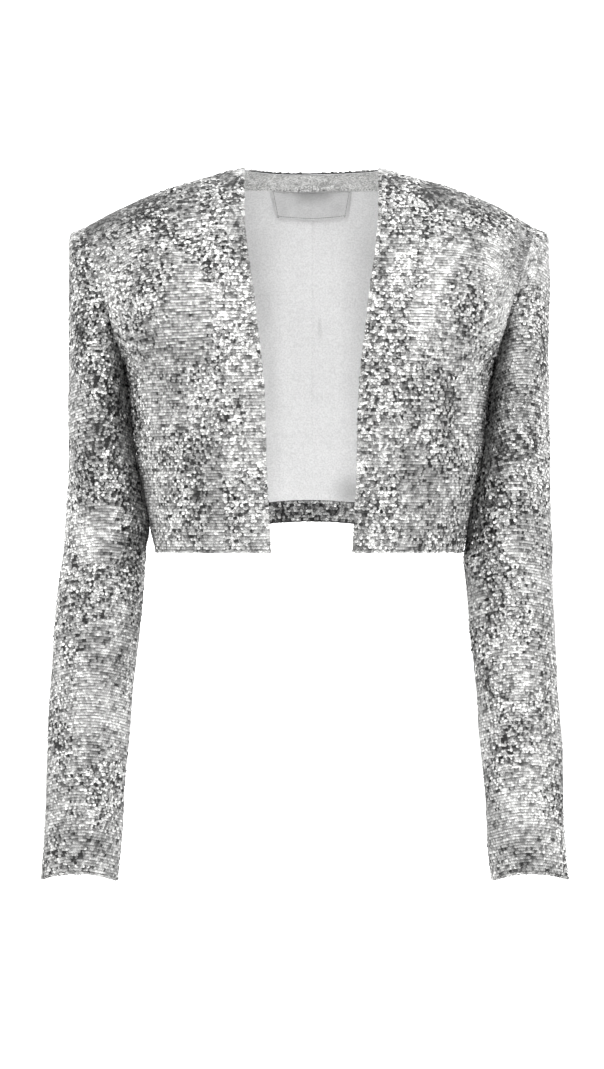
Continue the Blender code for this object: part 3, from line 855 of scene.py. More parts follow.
class Nodes:
    """A node tree that is built a node at a time."""

    def __init__(self, tree):
        self.tree = tree

    def add(self, kind, links=None, **settings):
        """A node with its settings, and what goes into its inputs, by name or number."""
        node = self.tree.nodes.new(kind)
        for key, value in settings.items():
            setattr(node, key, value)
        for key, value in (links or {}).items():
            if isinstance(value, bpy.types.NodeSocket):
                self.tree.links.new(value, node.inputs[key])
            else:
                node.inputs[key].default_value = value
        return node

    def get(self, kind, links=None, **settings):
        """The first output of a new node."""
        return self.add(kind, links, **settings).outputs[0]

    def maths(self, operation, a, b=0.0):
        return self.get("ShaderNodeMath", {0: a, 1: b}, operation=operation)

    def vectors(self, operation, a, b):
        return self.get("ShaderNodeVectorMath", {0: a, 1: b}, operation=operation)

    def times(self, vector, value):
        """A direction made longer or shorter, or a colour lighter or darker, by a value."""
        return self.get("ShaderNodeVectorMath", {0: vector, "Scale": value}, operation="SCALE")

    def ramp(self, value, *stops):
        """Colours from a value: each stop is a place and a grey, or a place and a colour."""
        node = self.add("ShaderNodeValToRGB", {0: value})
        elements = node.color_ramp.elements
        while len(elements) < len(stops):
            elements.new(0.5)
        for element, (place, tint) in zip(elements, stops):
            element.position = place
            element.color = (*tint, 1.0) if hasattr(tint, "__len__") else (tint, tint, tint, 1.0)
        return node.outputs[0]


class Tree(Nodes):
    """A Geometry Nodes tree with named inputs, which works on the mesh that it is given."""

    def __init__(self, name, inputs):
        super().__init__(bpy.data.node_groups.new(name, "GeometryNodeTree"))
        socket = self.tree.interface.new_socket
        socket("Geometry", in_out="INPUT", socket_type="NodeSocketGeometry")
        for label, kind, value in inputs:
            made = socket(label, in_out="INPUT", socket_type="NodeSocket" + kind)
            if value is not None:
                made.default_value = value
        socket("Geometry", in_out="OUTPUT", socket_type="NodeSocketGeometry")
        self.given = self.tree.nodes.new("NodeGroupInput").outputs

    def end(self, instances):
        """Ends the tree: the instances made real, with the finish that is given."""
        real = self.get("GeometryNodeRealizeInstances", {0: instances})
        last = self.tree.nodes.new("NodeGroupOutput").inputs[0]
        finished = {"Geometry": real, "Material": self.given["Finish"]}
        self.tree.links.new(self.get("GeometryNodeSetMaterial", finished), last)
        return self

    def run(self, name, mesh, finish, values):
        """The tree's result on a mesh, as a plain mesh object."""
        values = {"Finish": FINISHES[finish], **values}
        carrier = placed(name, mesh)
        modifier = carrier.modifiers.new("made", "NODES")
        modifier.node_group = self.tree
        for item in self.tree.interface.items_tree:
            if item.in_out == "INPUT" and item.name in values:
                modifier[item.identifier] = values[item.name]
        depsgraph = bpy.context.evaluated_depsgraph_get()
        made = bpy.data.meshes.new_from_object(
            carrier.evaluated_get(depsgraph), preserve_all_data_layers=True, depsgraph=depsgraph
        )
        bpy.data.objects.remove(carrier, do_unlink=True)
        bpy.data.meshes.remove(mesh)
        made.name = name
        if not made.materials:
            made.materials.append(FINISHES[finish])
        return placed(name, made)


def sequin_tree():
    """Puts a cupped sequin at each point, turned by the cloth, leaning and tilted at random."""
    t = Tree(
        "sequins on cloth",
        (
            ("Sequin Width", "Float", 0.004),
            ("Cup Depth", "Float", 0.0004),
            ("Corners", "Int", 7),
            ("Lean", "Float", math.radians(10)),
            ("Calm Tilt", "Float", math.radians(2)),
            ("Loose Tilt", "Float", math.radians(15)),
            ("Calm Scatter", "Float", 0.0001),
            ("Loose Scatter", "Float", 0.0006),
            ("Calm Spread", "Float", 0.26),
            ("Loose Spread", "Float", 0.62),
            ("Smallest", "Float", 0.93),
            ("Largest", "Float", 1.04),
            ("Seed", "Int", 1),
            ("Finish", "Material", None),
        ),
    )
    g = t.given

    def stored(geometry, label, value, domain):
        links = {"Geometry": geometry, "Name": label, "Value": value}
        return t.get("GeometryNodeStoreNamedAttribute", links, data_type="FLOAT", domain=domain)

    def carried(name, kind="FLOAT"):
        return t.get("GeometryNodeInputNamedAttribute", {"Name": name}, data_type=kind)

    def chance(number, low, high, kind="FLOAT"):
        """A random value for each point: number sets it apart from the others."""
        node = t.add("FunctionNodeRandomValue", data_type=kind)
        sockets = [s for s in node.inputs if s.enabled]
        for socket, value in zip(sockets, (low, high)):
            if isinstance(value, bpy.types.NodeSocket):
                t.tree.links.new(value, socket)
            else:
                socket.default_value = value
        t.tree.links.new(t.maths("ADD", g["Seed"], float(number)), node.inputs["Seed"])
        return next(s for s in node.outputs if s.enabled)

    def any_way(number):
        return chance(number, (-1.0, -1.0, -1.0), (1.0, 1.0, 1.0), "FLOAT_VECTOR")

    loose = carried("loose")

    def by_looseness(label):
        """An input's value, from where the sequins hang calm to where they hang loose."""
        ends = {"Factor": loose, "A": g["Calm " + label], "B": g["Loose " + label]}
        return t.get("ShaderNodeMix", ends, data_type="FLOAT")

    radius = t.maths("MULTIPLY", g["Sequin Width"], 0.5)
    cup = t.get(
        "GeometryNodeMeshCone",
        {"Vertices": g["Corners"], "Radius Top": radius, "Radius Bottom": 0.0, "Depth": g["Cup Depth"]},
        fill_type="NONE",
    )
    cup = t.get("GeometryNodeFlipFaces", {"Mesh": cup})
    cup = t.get("GeometryNodeSetShadeSmooth", {"Geometry": cup, "Shade Smooth": True})
    place = t.get("GeometryNodeInputPosition")
    length = t.add("ShaderNodeVectorMath", {0: place}, operation="LENGTH").outputs["Value"]
    height = t.add("ShaderNodeSeparateXYZ", {0: place}).outputs["Y"]
    for label, value in (("rim", length), ("rise", height)):
        cup = stored(cup, label, t.maths("DIVIDE", value, radius), "POINT")

    shift = t.times(any_way(1), by_looseness("Scatter"))
    points = t.get("GeometryNodeSetPosition", {"Geometry": g["Geometry"], "Offset": shift})
    up = t.times(carried("down", "FLOAT_VECTOR"), -1.0)
    lie = t.get(
        "FunctionNodeAxesToRotation",
        {0: carried("out", "FLOAT_VECTOR"), 1: up},
        primary_axis="Z",
        secondary_axis="Y",
    )
    tilts = t.times(t.vectors("ADD", any_way(2), any_way(5)), by_looseness("Tilt"))
    lean = t.get("ShaderNodeCombineXYZ", {"X": t.maths("MULTIPLY", g["Lean"], -1.0)})
    turn = t.get("FunctionNodeEulerToRotation", {0: t.vectors("ADD", tilts, lean)})
    turned_by = {"Rotation": lie, "Rotate By": turn}
    rotation = t.get("FunctionNodeRotateRotation", turned_by, rotation_space="LOCAL")
    size = chance(3, g["Smallest"], g["Largest"])
    sequins = t.get(
        "GeometryNodeInstanceOnPoints",
        {"Points": points, "Instance": cup, "Rotation": rotation, "Scale": size},
    )
    # Each sequin's tone: a random part, and the sheen of its point, which carries random patches and the
    # strokes' painted highlights and shade
    tone = t.maths("MULTIPLY", chance(4, -1.0, 1.0), by_looseness("Spread"))
    tone = t.maths("ADD", tone, carried("sheen"))
    return t.end(stored(sequins, "tone", tone, "INSTANCE"))


def stitch_tree():
    """Lays short round stitches end to end along a line, with a gap between them."""
    t = Tree(
        "stitches on a line",
        (
            ("Stitch Length", "Float", 0.0022),
            ("Stitch Gap", "Float", 0.0010),
            ("Thread Width", "Float", 0.0005),
            ("Finish", "Material", None),
        ),
    )
    g = t.given
    line = t.get("GeometryNodeMeshToCurve", {0: g["Geometry"]})
    pitch = t.maths("ADD", g["Stitch Length"], g["Stitch Gap"])
    spots = t.add("GeometryNodeCurveToPoints", {"Curve": line, "Length": pitch}, mode="LENGTH").outputs
    stitch = t.get("GeometryNodeMeshUVSphere", {"Segments": 6, "Rings": 5, "Radius": 0.5})
    stitch = t.get("GeometryNodeSetShadeSmooth", {"Geometry": stitch, "Shade Smooth": True})
    width = g["Thread Width"]
    size = t.get("ShaderNodeCombineXYZ", {"X": g["Stitch Length"], "Y": width, "Z": width})
    lie = t.get("FunctionNodeAlignRotationToVector", {"Vector": spots["Tangent"]}, axis="X")
    made = t.get(
        "GeometryNodeInstanceOnPoints",
        {"Points": spots["Points"], "Instance": stitch, "Rotation": lie, "Scale": size},
    )
    return t.end(made)


class Finish(Nodes):
    """A material built round its Principled shader. All scales are in waves to the metre."""

    def __init__(self, name, **sockets):
        self.material = bpy.data.materials.new(name)
        self.material.use_nodes = True
        super().__init__(self.material.node_tree)
        self.shader = self.tree.nodes["Principled BSDF"]
        for label, value in sockets.items():
            self.shader.inputs[label.replace("_", " ")].default_value = value

    def into(self, socket, value):
        self.tree.links.new(value, self.shader.inputs[socket])

    def bump(self, height, strength, distance):
        relief = {"Height": height, "Strength": strength, "Distance": distance}
        self.into("Normal", self.get("ShaderNodeBump", relief))

    def spread(self, value, low, high, to_low, to_high, **settings):
        """A value read from one range into another, held at both ends."""
        ranges = {0: value, 1: low, 2: high, 3: to_low, 4: to_high}
        return self.get("ShaderNodeMapRange", ranges, **settings)

    def between(self, noise, low, high, usual=(0.3, 0.7)):
        """A value from low to high, as noise goes from its usual least to its usual most."""
        return self.spread(noise, *usual, low, high)

    def place(self):
        return self.add("ShaderNodeTexCoord").outputs["Object"]

    def grain(self, scale, detail=2.0, where=None):
        """Fine noise over the piece."""
        where = self.place() if where is None else where
        return self.get("ShaderNodeTexNoise", {"Vector": where, "Scale": scale, "Detail": detail})

    def soft_spots(self, spots):
        """Painted shade: the light left under soft dark spots, seen from the front: each spot is
        its x and z, half width, half height and the light left at its middle.
        """
        place = self.add("ShaderNodeSeparateXYZ", {0: self.place()}).outputs
        left = 1.0
        for x, z, half_width, half_height, share in spots:
            far = 0.0
            for axis, at, half in (("X", x, half_width), ("Z", z, half_height)):
                off = self.maths("DIVIDE", self.maths("SUBTRACT", place[axis], at), half)
                far = self.maths("ADD", self.maths("MULTIPLY", off, off), far)
            far = self.maths("SQRT", far)
            fade = self.spread(far, 0.0, 1.0, share, 1.0, interpolation_type="SMOOTHSTEP")
            left = self.maths("MULTIPLY", fade, left)
        return left

    def threads(self, pitch):
        """Warp and weft of a plain weave on the cloth's own UV map: two waves from -1 to 1."""
        cloth = self.get("ShaderNodeUVMap", uv_map="cloth")
        parts = self.add("ShaderNodeSeparateXYZ", {0: cloth}).outputs
        turns = 2 * math.pi / pitch
        return [self.maths("SINE", self.maths("MULTIPLY", parts[axis], turns)) for axis in (0, 1)]


def sequin_finish(name, tones, roughness, glint=(0.26, 0.56), shaded=(0.26, 0.88)):
    """Silver foil: each sequin has its own tone, with random differences and the strokes' painted
    highlights and shade; small facet cells, lighter or darker as painted glint; a rim darker for its
    thin edge and for painted shade; a sewing hole; and the painted shade of the row above. glint is
    how much the facet cells' painted glint differs where the sequins hang calm and where they hang
    loose, and shaded is the least and the most light left in that shade.
    """
    f = Finish(name, Metallic=0.6)
    tone, rim, rise, loose = (
        f.add("ShaderNodeAttribute", attribute_name=label).outputs["Fac"]
        for label in ("tone", "rim", "rise", "loose")
    )
    foil = f.ramp(tone, *[(at, (grey, grey, FOIL_WARMTH * grey)) for at, grey in zip(TONE_STOPS, tones)])
    # The rim is darker for its thin edge and for painted shade
    edge = f.spread(rim, 0.80, 1.0, 1.0, 0.50)
    hole = f.spread(rim, 0.12, 0.20, 0.25, 1.0)
    where = f.place()
    # Painted shade of the row above, over the top of each sequin, varying along the rows and less where
    # they hang loose
    along_rows = f.grain(1.0, 1.0, f.vectors("MULTIPLY", where, SHADE_RUNS))
    depth = f.spread(along_rows, 0.38, 0.60, *shaded)
    shade = f.spread(rise, 0.10, 0.50, 1.0, f.spread(loose, 0.0, 1.0, depth, 0.85))
    # Painted glint: each facet cell of about a millimetre is lighter or darker, more where the sequins
    # hang loose
    facet_glint = f.add("ShaderNodeTexVoronoi", {"Vector": where, "Scale": 850.0}).outputs["Color"]
    facet_glint = f.maths("SUBTRACT", f.get("ShaderNodeSeparateColor", {0: facet_glint}), 0.5)
    facet_glint = f.maths("MULTIPLY", facet_glint, f.spread(loose, 0.0, 1.0, 2 * glint[0], 2 * glint[1]))
    # Fine grain of wear, times the facet cells' painted glint
    wear_and_facet_glint = f.between(f.grain(420.0, 3.0), 0.88, 1.0)
    wear_and_facet_glint = f.maths("MULTIPLY", wear_and_facet_glint, f.maths("ADD", facet_glint, 1.0))
    foil = f.times(foil, f.maths("MULTIPLY", edge, hole))
    f.into("Base Color", f.times(foil, f.maths("MULTIPLY", shade, wear_and_facet_glint)))
    f.into("Roughness", f.between(f.grain(700.0), roughness - 0.06, roughness + 0.08))
    f.bump(f.grain(1800.0), 0.15, 0.0002)
    return f.material


def ground_finish(name, dark, light):
    """The net that the sequins are sewn to: a dense knit of fine dark thread."""
    f = Finish(name, Sheen_Weight=0.2)
    wale, course = f.threads(0.0011)
    course = f.maths("MULTIPLY", f.maths("ABSOLUTE", course), 0.7)
    knit = f.maths("ADD", f.maths("MULTIPLY", wale, 0.5), course)
    f.into("Base Color", f.ramp(f.spread(knit, -0.5, 1.2, 0.0, 1.0), (0.0, dark), (1.0, light)))
    f.into("Roughness", f.between(f.grain(300.0), 0.6, 0.8))
    f.bump(knit, 0.6, 0.0003)
    return f.material


def lining_finish(name, light, shade, aside=None):
    """Pale lining with a fine pebbled face over a plain weave. aside is how much of its light is
    left towards the sides of the body under painted shade, where it also has the painted shade of
    its soft dark spots.
    """
    f = Finish(name, Sheen_Weight=0.15, Specular_IOR_Level=0.3)
    warp, weft = f.threads(0.0007)
    weave = f.maths("MULTIPLY", warp, weft)
    pebble = f.grain(650.0)
    grey = f.ramp(f.between(f.grain(28.0, 3.0), 0.0, 1.0), (0.0, shade), (1.0, light))
    grey = f.times(grey, f.between(pebble, 0.87, 1.05, FINE_NOISE))
    if aside:
        # Painted shade: darker towards the sides, less so near the top, and under the soft dark spots
        place = f.add("ShaderNodeSeparateXYZ", {0: f.place()}).outputs
        beside = f.maths("ABSOLUTE", f.maths("SUBTRACT", place["X"], CENTRE_SHIFT))
        lower = f.spread(place["Z"], *ASIDE_DOWN, aside, 1 - (1 - aside) / 3)
        share = f.spread(beside, *ASIDE_ACROSS, 0.0, 1.0)
        left = f.maths("SUBTRACT", 1.0, f.maths("MULTIPLY", share, f.maths("SUBTRACT", 1.0, lower)))
        grey = f.times(f.times(grey, left), f.soft_spots(LINING_SPOTS))
    f.into("Base Color", grey)
    f.into("Roughness", f.between(pebble, 0.5, 0.68))
    relief = f.maths("ADD", f.maths("MULTIPLY", weave, 0.3), f.maths("MULTIPLY", pebble, 1.6))
    f.bump(relief, 0.35, 0.0004)
    return f.material


def tape_finish(name, light, shade):
    """Woven label tape: fine level ribs, with a slight satin gloss."""
    f = Finish(name, Sheen_Weight=0.1, Coat_Weight=0.08, Coat_Roughness=0.4)
    warp, weft = f.threads(0.0006)
    slub = f.grain(90.0, 3.0)
    ribs = f.maths("ADD", weft, f.maths("MULTIPLY", warp, 0.3))
    grey = f.ramp(f.between(slub, 0.0, 1.0), (0.0, shade), (1.0, light))
    # Painted shade at the label's upper middle, from its soft dark spots
    grey = f.times(f.times(grey, f.spread(ribs, -1.0, 1.0, 0.90, 1.03)), f.soft_spots(LABEL_SPOTS))
    f.into("Base Color", f.times(grey, f.between(f.grain(700.0), 0.90, 1.06, FINE_NOISE)))
    f.into("Roughness", f.between(slub, 0.42, 0.58))
    f.bump(ribs, 0.3, 0.0002)
    return f.material


def thread_finish(name, tint):
    """Sewing thread, with the fine light and dark of its twist."""
    f = Finish(name, Sheen_Weight=0.3)
    twist = f.grain(2500.0)
    f.into("Base Color", f.ramp(f.between(twist, 0.0, 1.0), (0.0, 0.7 * tint), (1.0, tint)))
    f.into("Roughness", f.between(twist, 0.55, 0.75))
    f.bump(twist, 0.3, 0.0001)
    return f.material


FINISHES = {
    "panel_sequins": sequin_finish("silver_sequins", (0.02, 0.235, 0.46, 0.76), 0.34),
    "band_sequins": sequin_finish("silver_band_sequins", (0.03, 0.225, 0.43, 0.74), 0.32),
    "facing_sequins": sequin_finish(
        "fine_silver_sparkle", (0.34, 0.66, 0.84, 0.98), 0.36, glint=(0.36, 0.46), shaded=(0.90, 1.0)
    ),
    "ground": ground_finish("sequin_ground_net", 0.012, 0.05),
    "facing": ground_finish("facing_cloth", 0.36, 0.70),
    "lining": lining_finish("pale_lining", 0.86, 0.82),
    "back_lining": lining_finish("pale_back_lining", 0.945, 0.90, 0.75),
    "label": tape_finish("label_tape", 0.78, 0.68),
    "grey_thread": thread_finish("grey_thread", 0.06),
    "pale_thread": thread_finish("pale_thread", 0.52),
}
SEQUINS = sequin_tree()
STITCHES = stitch_tree()

# The places down a front or the back, closest together at the shoulders, and across the back
DOWNS = graded(120, 1.5)
BACK_SHARES = both_ways(64)


def loose_and_sheen(places, seed, loose_bias, sheen_bias):
    """How loosely the sequins hang, and how bright they are: random patches over the cloth, and the
    strokes' painted highlights and shade.
    """
    shift = Vector([seed * step for step in PATCH_SHIFT])
    loose, sheen = [], []
    looser = [stroke[:6] for stroke in STROKES]
    painted_light_strokes = [stroke[:5] + stroke[6:] for stroke in STROKES]
    for place in places:
        p = Vector(place)
        seen = soft_step(*SEEN_FROM, p.y)
        broad = noise.noise(p / BROAD_PATCH + shift)
        fine = noise.noise(Vector((p.x, p.y, 1.6 * p.z)) / FINE_PATCH + shift)
        glow = noise.noise(p / GLOW_PATCH - shift)
        run = noise.noise(Vector((p.x / RUN_LENGTH, p.y / RUN_LENGTH, p.z / RUN_HEIGHT)) + shift)
        hang = HANG + HANG_BROAD * broad + HANG_FINE * fine + loose_bias
        hang += seen * fold_height(looser, p.x, p.z)
        loose.append(min(max(hang, 0.0), 1.0))
        bright = BRIGHT_GLOW * glow + BRIGHT_FINE * fine + BRIGHT_RUN * run
        # The strokes add painted highlight where they brighten and painted shade where they darken
        bright += seen * fold_height(painted_light_strokes, p.x, p.z)
        sheen.append(BRIGHT + sheen_bias + bright)
    return np.array(loose), np.array(sheen)


def sew_sequins(name, spots, cut, seed, bias=(0.0, 0.0), **inputs):
    """One mesh of sequins on the spots given, as places with their directions."""
    places, out, down = spots
    loose, sheen = loose_and_sheen(places, seed, *bias)
    mesh = points_mesh(name + "_points", places, out, down, loose, sheen)
    values = {"Sequin Width": cut["width"], "Seed": seed * 100, **inputs}
    return SEQUINS.run(name, mesh, cut["finish"], values)


def sew_line(name, line, finish, stitches=None):
    """Stitches along a line of points."""
    mesh = bpy.data.meshes.new(name + "_line")
    mesh.from_pydata([tuple(p) for p in line], [(i, i + 1) for i in range(len(line) - 1)], [])
    return STITCHES.run(name, mesh, finish, stitches or {})


def dress(pieces, slot, *nodes):
    """Every piece rides on the garment, and the solids of the nodes are hidden. slot is not used."""
    for piece in pieces:
        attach(piece, "root")
    if nodes:
        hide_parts(*nodes)


def rows_and_edges(skin, cut, sewn, inward=1.0):
    """The level rows of sequins on a skin, and the rows along its foot and its sewn top."""
    return [
        sequin_places(skin, cut, SEQUIN_SEAT, sewn=sewn, inward=inward),
        edge_places(skin, "foot", cut),
        edge_places(skin, "top", cut, roll=0.0),
    ]


def make_panel(node, skin, sewn, cut, spots, seed, bias=(0.0, 0.0)):
    """A front, a band or a sleeve: its ground cloth, its lining and its sequins."""
    cloth = shell(node + "_cloth", skin, GROUND, "ground", EVERY_OTHER, sewn)
    lining = shell(node + "_lining", skin, INSIDE_LINING, "lining", EVERY_OTHER, sewn)
    sequins = sew_sequins(node + "_sequins", joined(*spots), cut, seed, bias)
    dress([cloth, sequins], "sequin_cloth", node)
    dress([lining], "lining_cloth")


def make_front(side, name, seed):
    """A front and its band."""
    shares = graded(FRONT_COLUMNS, 1)
    front = Skin(partial(body_point, side, FRONT, front_x), shares, steady(DOWNS), side * FRONT)
    front.dip(top=0.4, start=0.35, end=0.3)
    sewn = ("top", "start", "end")
    spots = rows_and_edges(front, PANEL_SEQUINS, sewn)
    make_panel(f"front_{name}", front, sewn, PANEL_SEQUINS, spots, seed)

    band = Skin(partial(body_point, side, FRONT, band_x), shares[::4], steady(DOWNS), side * FRONT)
    band.dip(top=0.4, end=0.35)
    sewn = ("top", "end")
    spots = rows_and_edges(band, BAND_SEQUINS, sewn)
    spots.append(edge_places(band, "start", BAND_SEQUINS, roll=START_ROLL))
    make_panel(f"front_band_{name}", band, sewn, BAND_SEQUINS, spots, seed + 1, BAND_BIAS)


def make_sleeve(side, name, seed):
    """A sleeve, open at the armhole and the cuff, with its seam along the inner line."""
    angles = [math.pi + 2 * math.pi * k / SLEEVE_COLUMNS for k in range(SLEEVE_COLUMNS)]
    rings = steady([k / RING_STEPS for k in range(RING_STEPS * (len(SLEEVE) - 1) + 1)])
    skin = Skin(partial(sleeve_point, side), angles, rings, side, ring=True)
    spots = rows_and_edges(skin, PANEL_SEQUINS, ("top",), SLEEVE_INWARD)
    make_panel(f"sleeve_{name}", skin, ("top",), PANEL_SEQUINS, spots, seed, SLEEVE_BIAS)


def make_back(seed):
    """The back outside."""
    skin = Skin(back_point, BACK_SHARES, steady(DOWNS), 1)
    sewn_top = [soft_step(NECK_SHARE, NECK_SHARE + SHOULDER_STEP / 2, abs(a)) for a in BACK_SHARES]
    skin.dip(top=0.4 * np.array(sewn_top), start=0.3, end=0.3)
    sewn = ("top", "start", "end")
    cloth = shell("back_cloth", skin, GROUND, "ground", EVERY_OTHER, sewn)
    neck = [c for c, share in enumerate(BACK_SHARES) if abs(share) < NECK_INSIDE * NECK_SHARE]
    spots = joined(
        sequin_places(skin, PANEL_SEQUINS, SEQUIN_SEAT, sewn=sewn),
        edge_places(skin, "foot", PANEL_SEQUINS),
        edge_places(skin, "top", PANEL_SEQUINS, neck),
        edge_places(skin, "top", PANEL_SEQUINS, slice(0, neck[0]), roll=0.0),
        edge_places(skin, "top", PANEL_SEQUINS, slice(neck[-1] + 1, None), roll=0.0),
    )
    places, out = spots[:2]
    beside = np.abs(np.abs(places[:, 0] - CENTRE_SHIFT) - NECK_HALF) < NECK_CLEAR
    reach = PANEL_SEQUINS["width"] / 2 * np.sqrt(1 - out[:, 2] ** 2)
    places[beside, 2] = np.minimum(places[beside, 2], -NECK_DROP - reach[beside])
    sequins = sew_sequins("back_sequins", spots, PANEL_SEQUINS, seed, Corners=BACK_CORNERS)
    dress([cloth, sequins], "sequin_cloth", "back")


def lining_relief(p):
    """The lining's seam down the middle, and the soft folds beside it."""
    x, z = p[0] - CENTRE_SHIFT, p[2]
    height, width = LINING_SEAM
    seam = height * math.exp(-((x / width) ** 2))
    height, at, width = LINING_FOLD
    fold = height * math.exp(-(((x - at) / width) ** 2)) * soft_step(*LINING_FOLD_TOP, z)
    return seam + fold + fold_height(LINING_CREASES, x, z)


def make_lining():
    """The back lining, from the facing down to the turned-up hem."""

    def down_at(share, across):
        top = FACING_END + SEAM_GAP / abs(HEM_Z)
        top = top * (1 - soft_step(NECK_SHARE, NECK_SHARE + SHOULDER_STEP, abs(across)))
        return top + (TURNING_START - SEAM_GAP / abs(HEM_Z) - top) * share

    close = [x / SHOULDER_TIP[0] for x in SEAM_COLUMNS]
    columns = sorted(set(BACK_SHARES) | set(close) | {-x for x in close})
    downs = [partial(down_at, share) for share in graded(100, 1.3)]
    skin = Skin(back_point, columns, downs, 1, relief=lining_relief)
    lining = shell("back_lining_cloth", skin, BACK_LINING, "back_lining")
    inner = skin.points - skin.out * (sum(BACK_LINING) + THREAD_OFF)
    middle = inner[:, len(columns) // 2]
    seam = sew_line("lining_seam_stitches", middle, "pale_thread", LINING_STITCHES)
    dress([lining, seam], "lining_cloth", "back_lining")


def make_facing(seed):
    """The facing inside the back neck, with its sparkle and the stitches along its foot."""
    shares = [FACING_REACH * NECK_SHARE * k / 30 for k in range(-30, 31)]
    skin = Skin(back_point, shares, steady([FACING_END * k / 12 for k in range(13)]), 1)
    facing = shell("back_neck_facing_cloth", skin, FACING, "facing")
    spots = sequin_places(skin, FACING_SEQUINS, sum(FACING) + SPARKLE_OFF, face=-1)
    sparkle = sew_sequins("facing_sequins", spots, FACING_SEQUINS, seed, FACING_BIAS, **SPARKLE)
    foot = skin.points[-2] - skin.out[-2] * (sum(FACING) + HEM_THREAD_OFF)
    hem = sew_line("facing_stitches", foot, "grey_thread")
    dress([facing, sparkle, hem], "facing_cloth", "back_neck_facing")


def make_turning(seed):
    """The turned-up hem of the back, whose sequins face the inside."""
    downs = [TURNING_START + (TURNING_END - TURNING_START) * k / 8 for k in range(9)]
    skin = Skin(back_point, BACK_SHARES, steady(downs), 1)
    turning = shell("back_hem_turning_cloth", skin, TURNING, "ground")
    spots = sequin_places(skin, PANEL_SEQUINS, sum(TURNING) + GLINTS_OFF, face=-1)
    glints = sew_sequins("hem_turning_sequins", spots, PANEL_SEQUINS, seed, TURNING_BIAS)
    dress([turning, glints], "sequin_cloth", "back_hem_turning")


def label_point(across, share):
    """A point of the label, with across from -1 to 1 and share from its top to its foot."""
    half = LABEL_HALF_TOP + (LABEL_HALF_FOOT - LABEL_HALF_TOP) * share
    at = across * half / SHOULDER_TIP[0]
    z = -LABEL_TOP - share * (LABEL_HEIGHT + LABEL_SAG * (1 - across**2))
    return back_point(at, down_to(z, at))


def label_relief(p):
    """The label stands a little off the lining at its middle."""
    x = (p[0] - CENTRE_SHIFT) / LABEL_HALF_TOP
    return -LABEL_BOW * max(1 - x * x, 0.0)


def make_label():
    """The bare neck label, stitched round its sides and foot."""
    skin = Skin(label_point, both_ways(20), steady(graded(12, 1)), 1, relief=label_relief)
    label = shell("neck_label_tape", skin, LABEL, "label")
    face = skin.points - skin.out * (sum(LABEL) + THREAD_OFF)
    line = np.concatenate([face[:, 1], face[-2, 1:-1], face[::-1, -2]])
    border = sew_line("label_stitches", line, "grey_thread", LABEL_STITCHES)
    dress([label, border], "label_cloth", "neck_label")


def stitch_armhole(side, name):
    """The seam round an armhole, seen under the arm as short dark stitches."""
    start, reach = STITCHED_ARC
    line = []
    for k in range(61):
        p = sleeve_point(side, math.pi * (start + reach * k / 60), 0)
        line.append((p.x - side * 0.0002, p.y, p.z))
    seam = sew_line(f"armhole_{name}_stitches", line, "grey_thread", ARMHOLE_STITCHES)
    dress([seam], "sequin_cloth")


for number, (side, name) in enumerate(SIDES):
    make_front(side, name, 11 + 2 * number)
    make_sleeve(side, name, 21 + number)
make_back(31)
make_lining()
make_facing(32)
make_turning(33)
make_label()
for side, name in SIDES:
    stitch_armhole(side, name)

# Studio: a round pale room, soft boxes all round, and the camera
ROOM_RADIUS = 9.0
ROOM_HEIGHT = 7.0
ROOM_SIDES = 96
FLOOR_Z = -1.40
COVE = 1.5
AIM = Vector((0.0, 0.0, -0.33))
CAMERA_PLACE = (-0.0068, -4.0, -0.354)
CAMERA_LENS = 139.4

# Soft boxes: azimuth, elevation, distance, size and power
SOFT_BOXES = (
    ("high_key", 0, 42, 3.6, (3.2, 1.8), 26),
    ("low_fill", 0, -32, 3.6, (1.8, 0.6), 7),
    ("front_left", 40, 10, 3.6, (1.0, 2.0), 7),
    ("front_right", -40, 10, 3.6, (1.0, 2.0), 7),
    ("side_left", 78, 10, 3.4, (1.0, 1.8), 11),
    ("side_right", -78, 10, 3.4, (1.0, 1.8), 11),
    ("back_left", 130, 18, 3.6, (1.0, 1.8), 12),
    ("back_right", -130, 18, 3.6, (1.0, 1.8), 12),
    ("back_high", 180, 40, 3.6, (2.8, 1.4), 24),
    ("overhead", 0, 82, 3.2, (2.8, 2.8), 22),
)

# The light of the air, at places from straight down to straight up
AIR = ((0.0, 0.95), (0.5, 1.45), (0.75, 1.75), (1.0, 2.30))


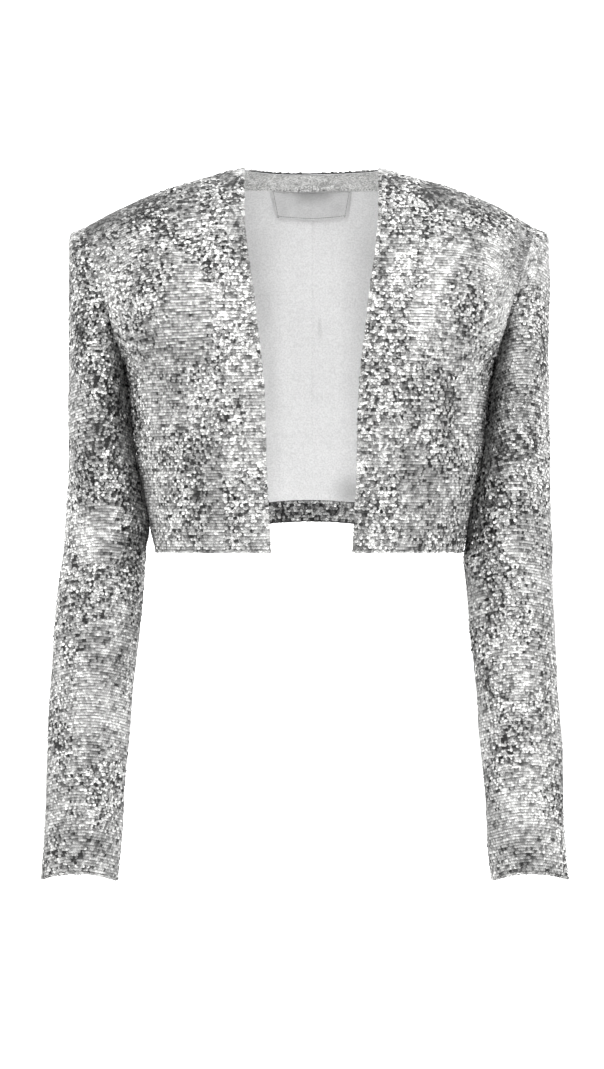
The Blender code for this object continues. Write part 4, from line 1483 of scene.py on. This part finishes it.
def make_room():
    """Floor and wall in one, turned round the middle, with a soft cove between them."""
    f = Finish("pale_room", Roughness=0.9, Emission_Color=(1, 1, 1, 1), Emission_Strength=1.0)
    f.into("Base Color", f.ramp(f.grain(0.4, 1.0), (0.3, 0.90), (0.7, 0.92)))
    profile = [(0.02 * ROOM_RADIUS, 0.0)]
    profile += [(ROOM_RADIUS * k / 6, 0.0) for k in range(1, 5)]
    for k in range(9):
        angle = math.pi / 2 * k / 8
        profile.append((ROOM_RADIUS - COVE + COVE * math.sin(angle), COVE - COVE * math.cos(angle)))
    profile.append((ROOM_RADIUS, ROOM_HEIGHT))
    verts, faces = [], []
    for r, (radius, height) in enumerate(profile):
        for k in range(ROOM_SIDES):
            angle = 2 * math.pi * k / ROOM_SIDES
            verts.append((radius * math.cos(angle), radius * math.sin(angle), FLOOR_Z + height))
            if r:
                here, beside = r * ROOM_SIDES + k, r * ROOM_SIDES + (k + 1) % ROOM_SIDES
                faces.append((here - ROOM_SIDES, beside - ROOM_SIDES, beside, here))
    faces.append(tuple(reversed(range(ROOM_SIDES))))
    mesh = bpy.data.meshes.new("studio_room")
    mesh.from_pydata(verts, [], faces)
    mesh.shade_smooth()
    room = cloth_object("studio_room", mesh, f.material)
    room.visible_glossy = False
    room.visible_diffuse = False


def soft_box(name, azimuth, elevation, distance, size, power):
    """A soft box round the object: azimuth 0 is at the camera, and 90 at the wearer's left."""
    a, e = math.radians(azimuth), math.radians(elevation)
    way = Vector((math.sin(a) * math.cos(e), -math.cos(a) * math.cos(e), math.sin(e)))
    data = bpy.data.lights.new(name, "AREA")
    data.shape = "RECTANGLE"
    data.size, data.size_y = size
    data.energy = power
    light = placed(name, data)
    light.location = AIM + way * distance
    light.rotation_mode = "QUATERNION"
    light.rotation_quaternion = (-way).to_track_quat("-Z", "Y")
    light.visible_camera = False


def studio_air():
    """Even light from all round, brighter from above."""
    world = bpy.data.worlds.new("studio_air")
    world.use_nodes = True
    air = Nodes(world.node_tree)
    way = air.add("ShaderNodeTexCoord").outputs["Generated"]
    height = air.add("ShaderNodeSeparateXYZ", {0: way}).outputs["Z"]
    height = air.get("ShaderNodeMapRange", {"Value": height, "From Min": -1.0})
    air.tree.links.new(air.ramp(height, *AIR), air.tree.nodes["Background"].inputs[0])
    return world


make_room()
for box in SOFT_BOXES:
    soft_box(*box)
bpy.context.scene.world = studio_air()
bpy.context.scene.view_settings.view_transform = "Standard"

camera_data = bpy.data.cameras.new("photo_camera")
camera_data.lens = CAMERA_LENS
camera_data.sensor_width = 36.0
camera_data.clip_end = 100
camera = placed("photo_camera", camera_data)
camera.location = CAMERA_PLACE
camera.rotation_euler = (math.pi / 2, 0, 0)
bpy.context.scene.camera = camera
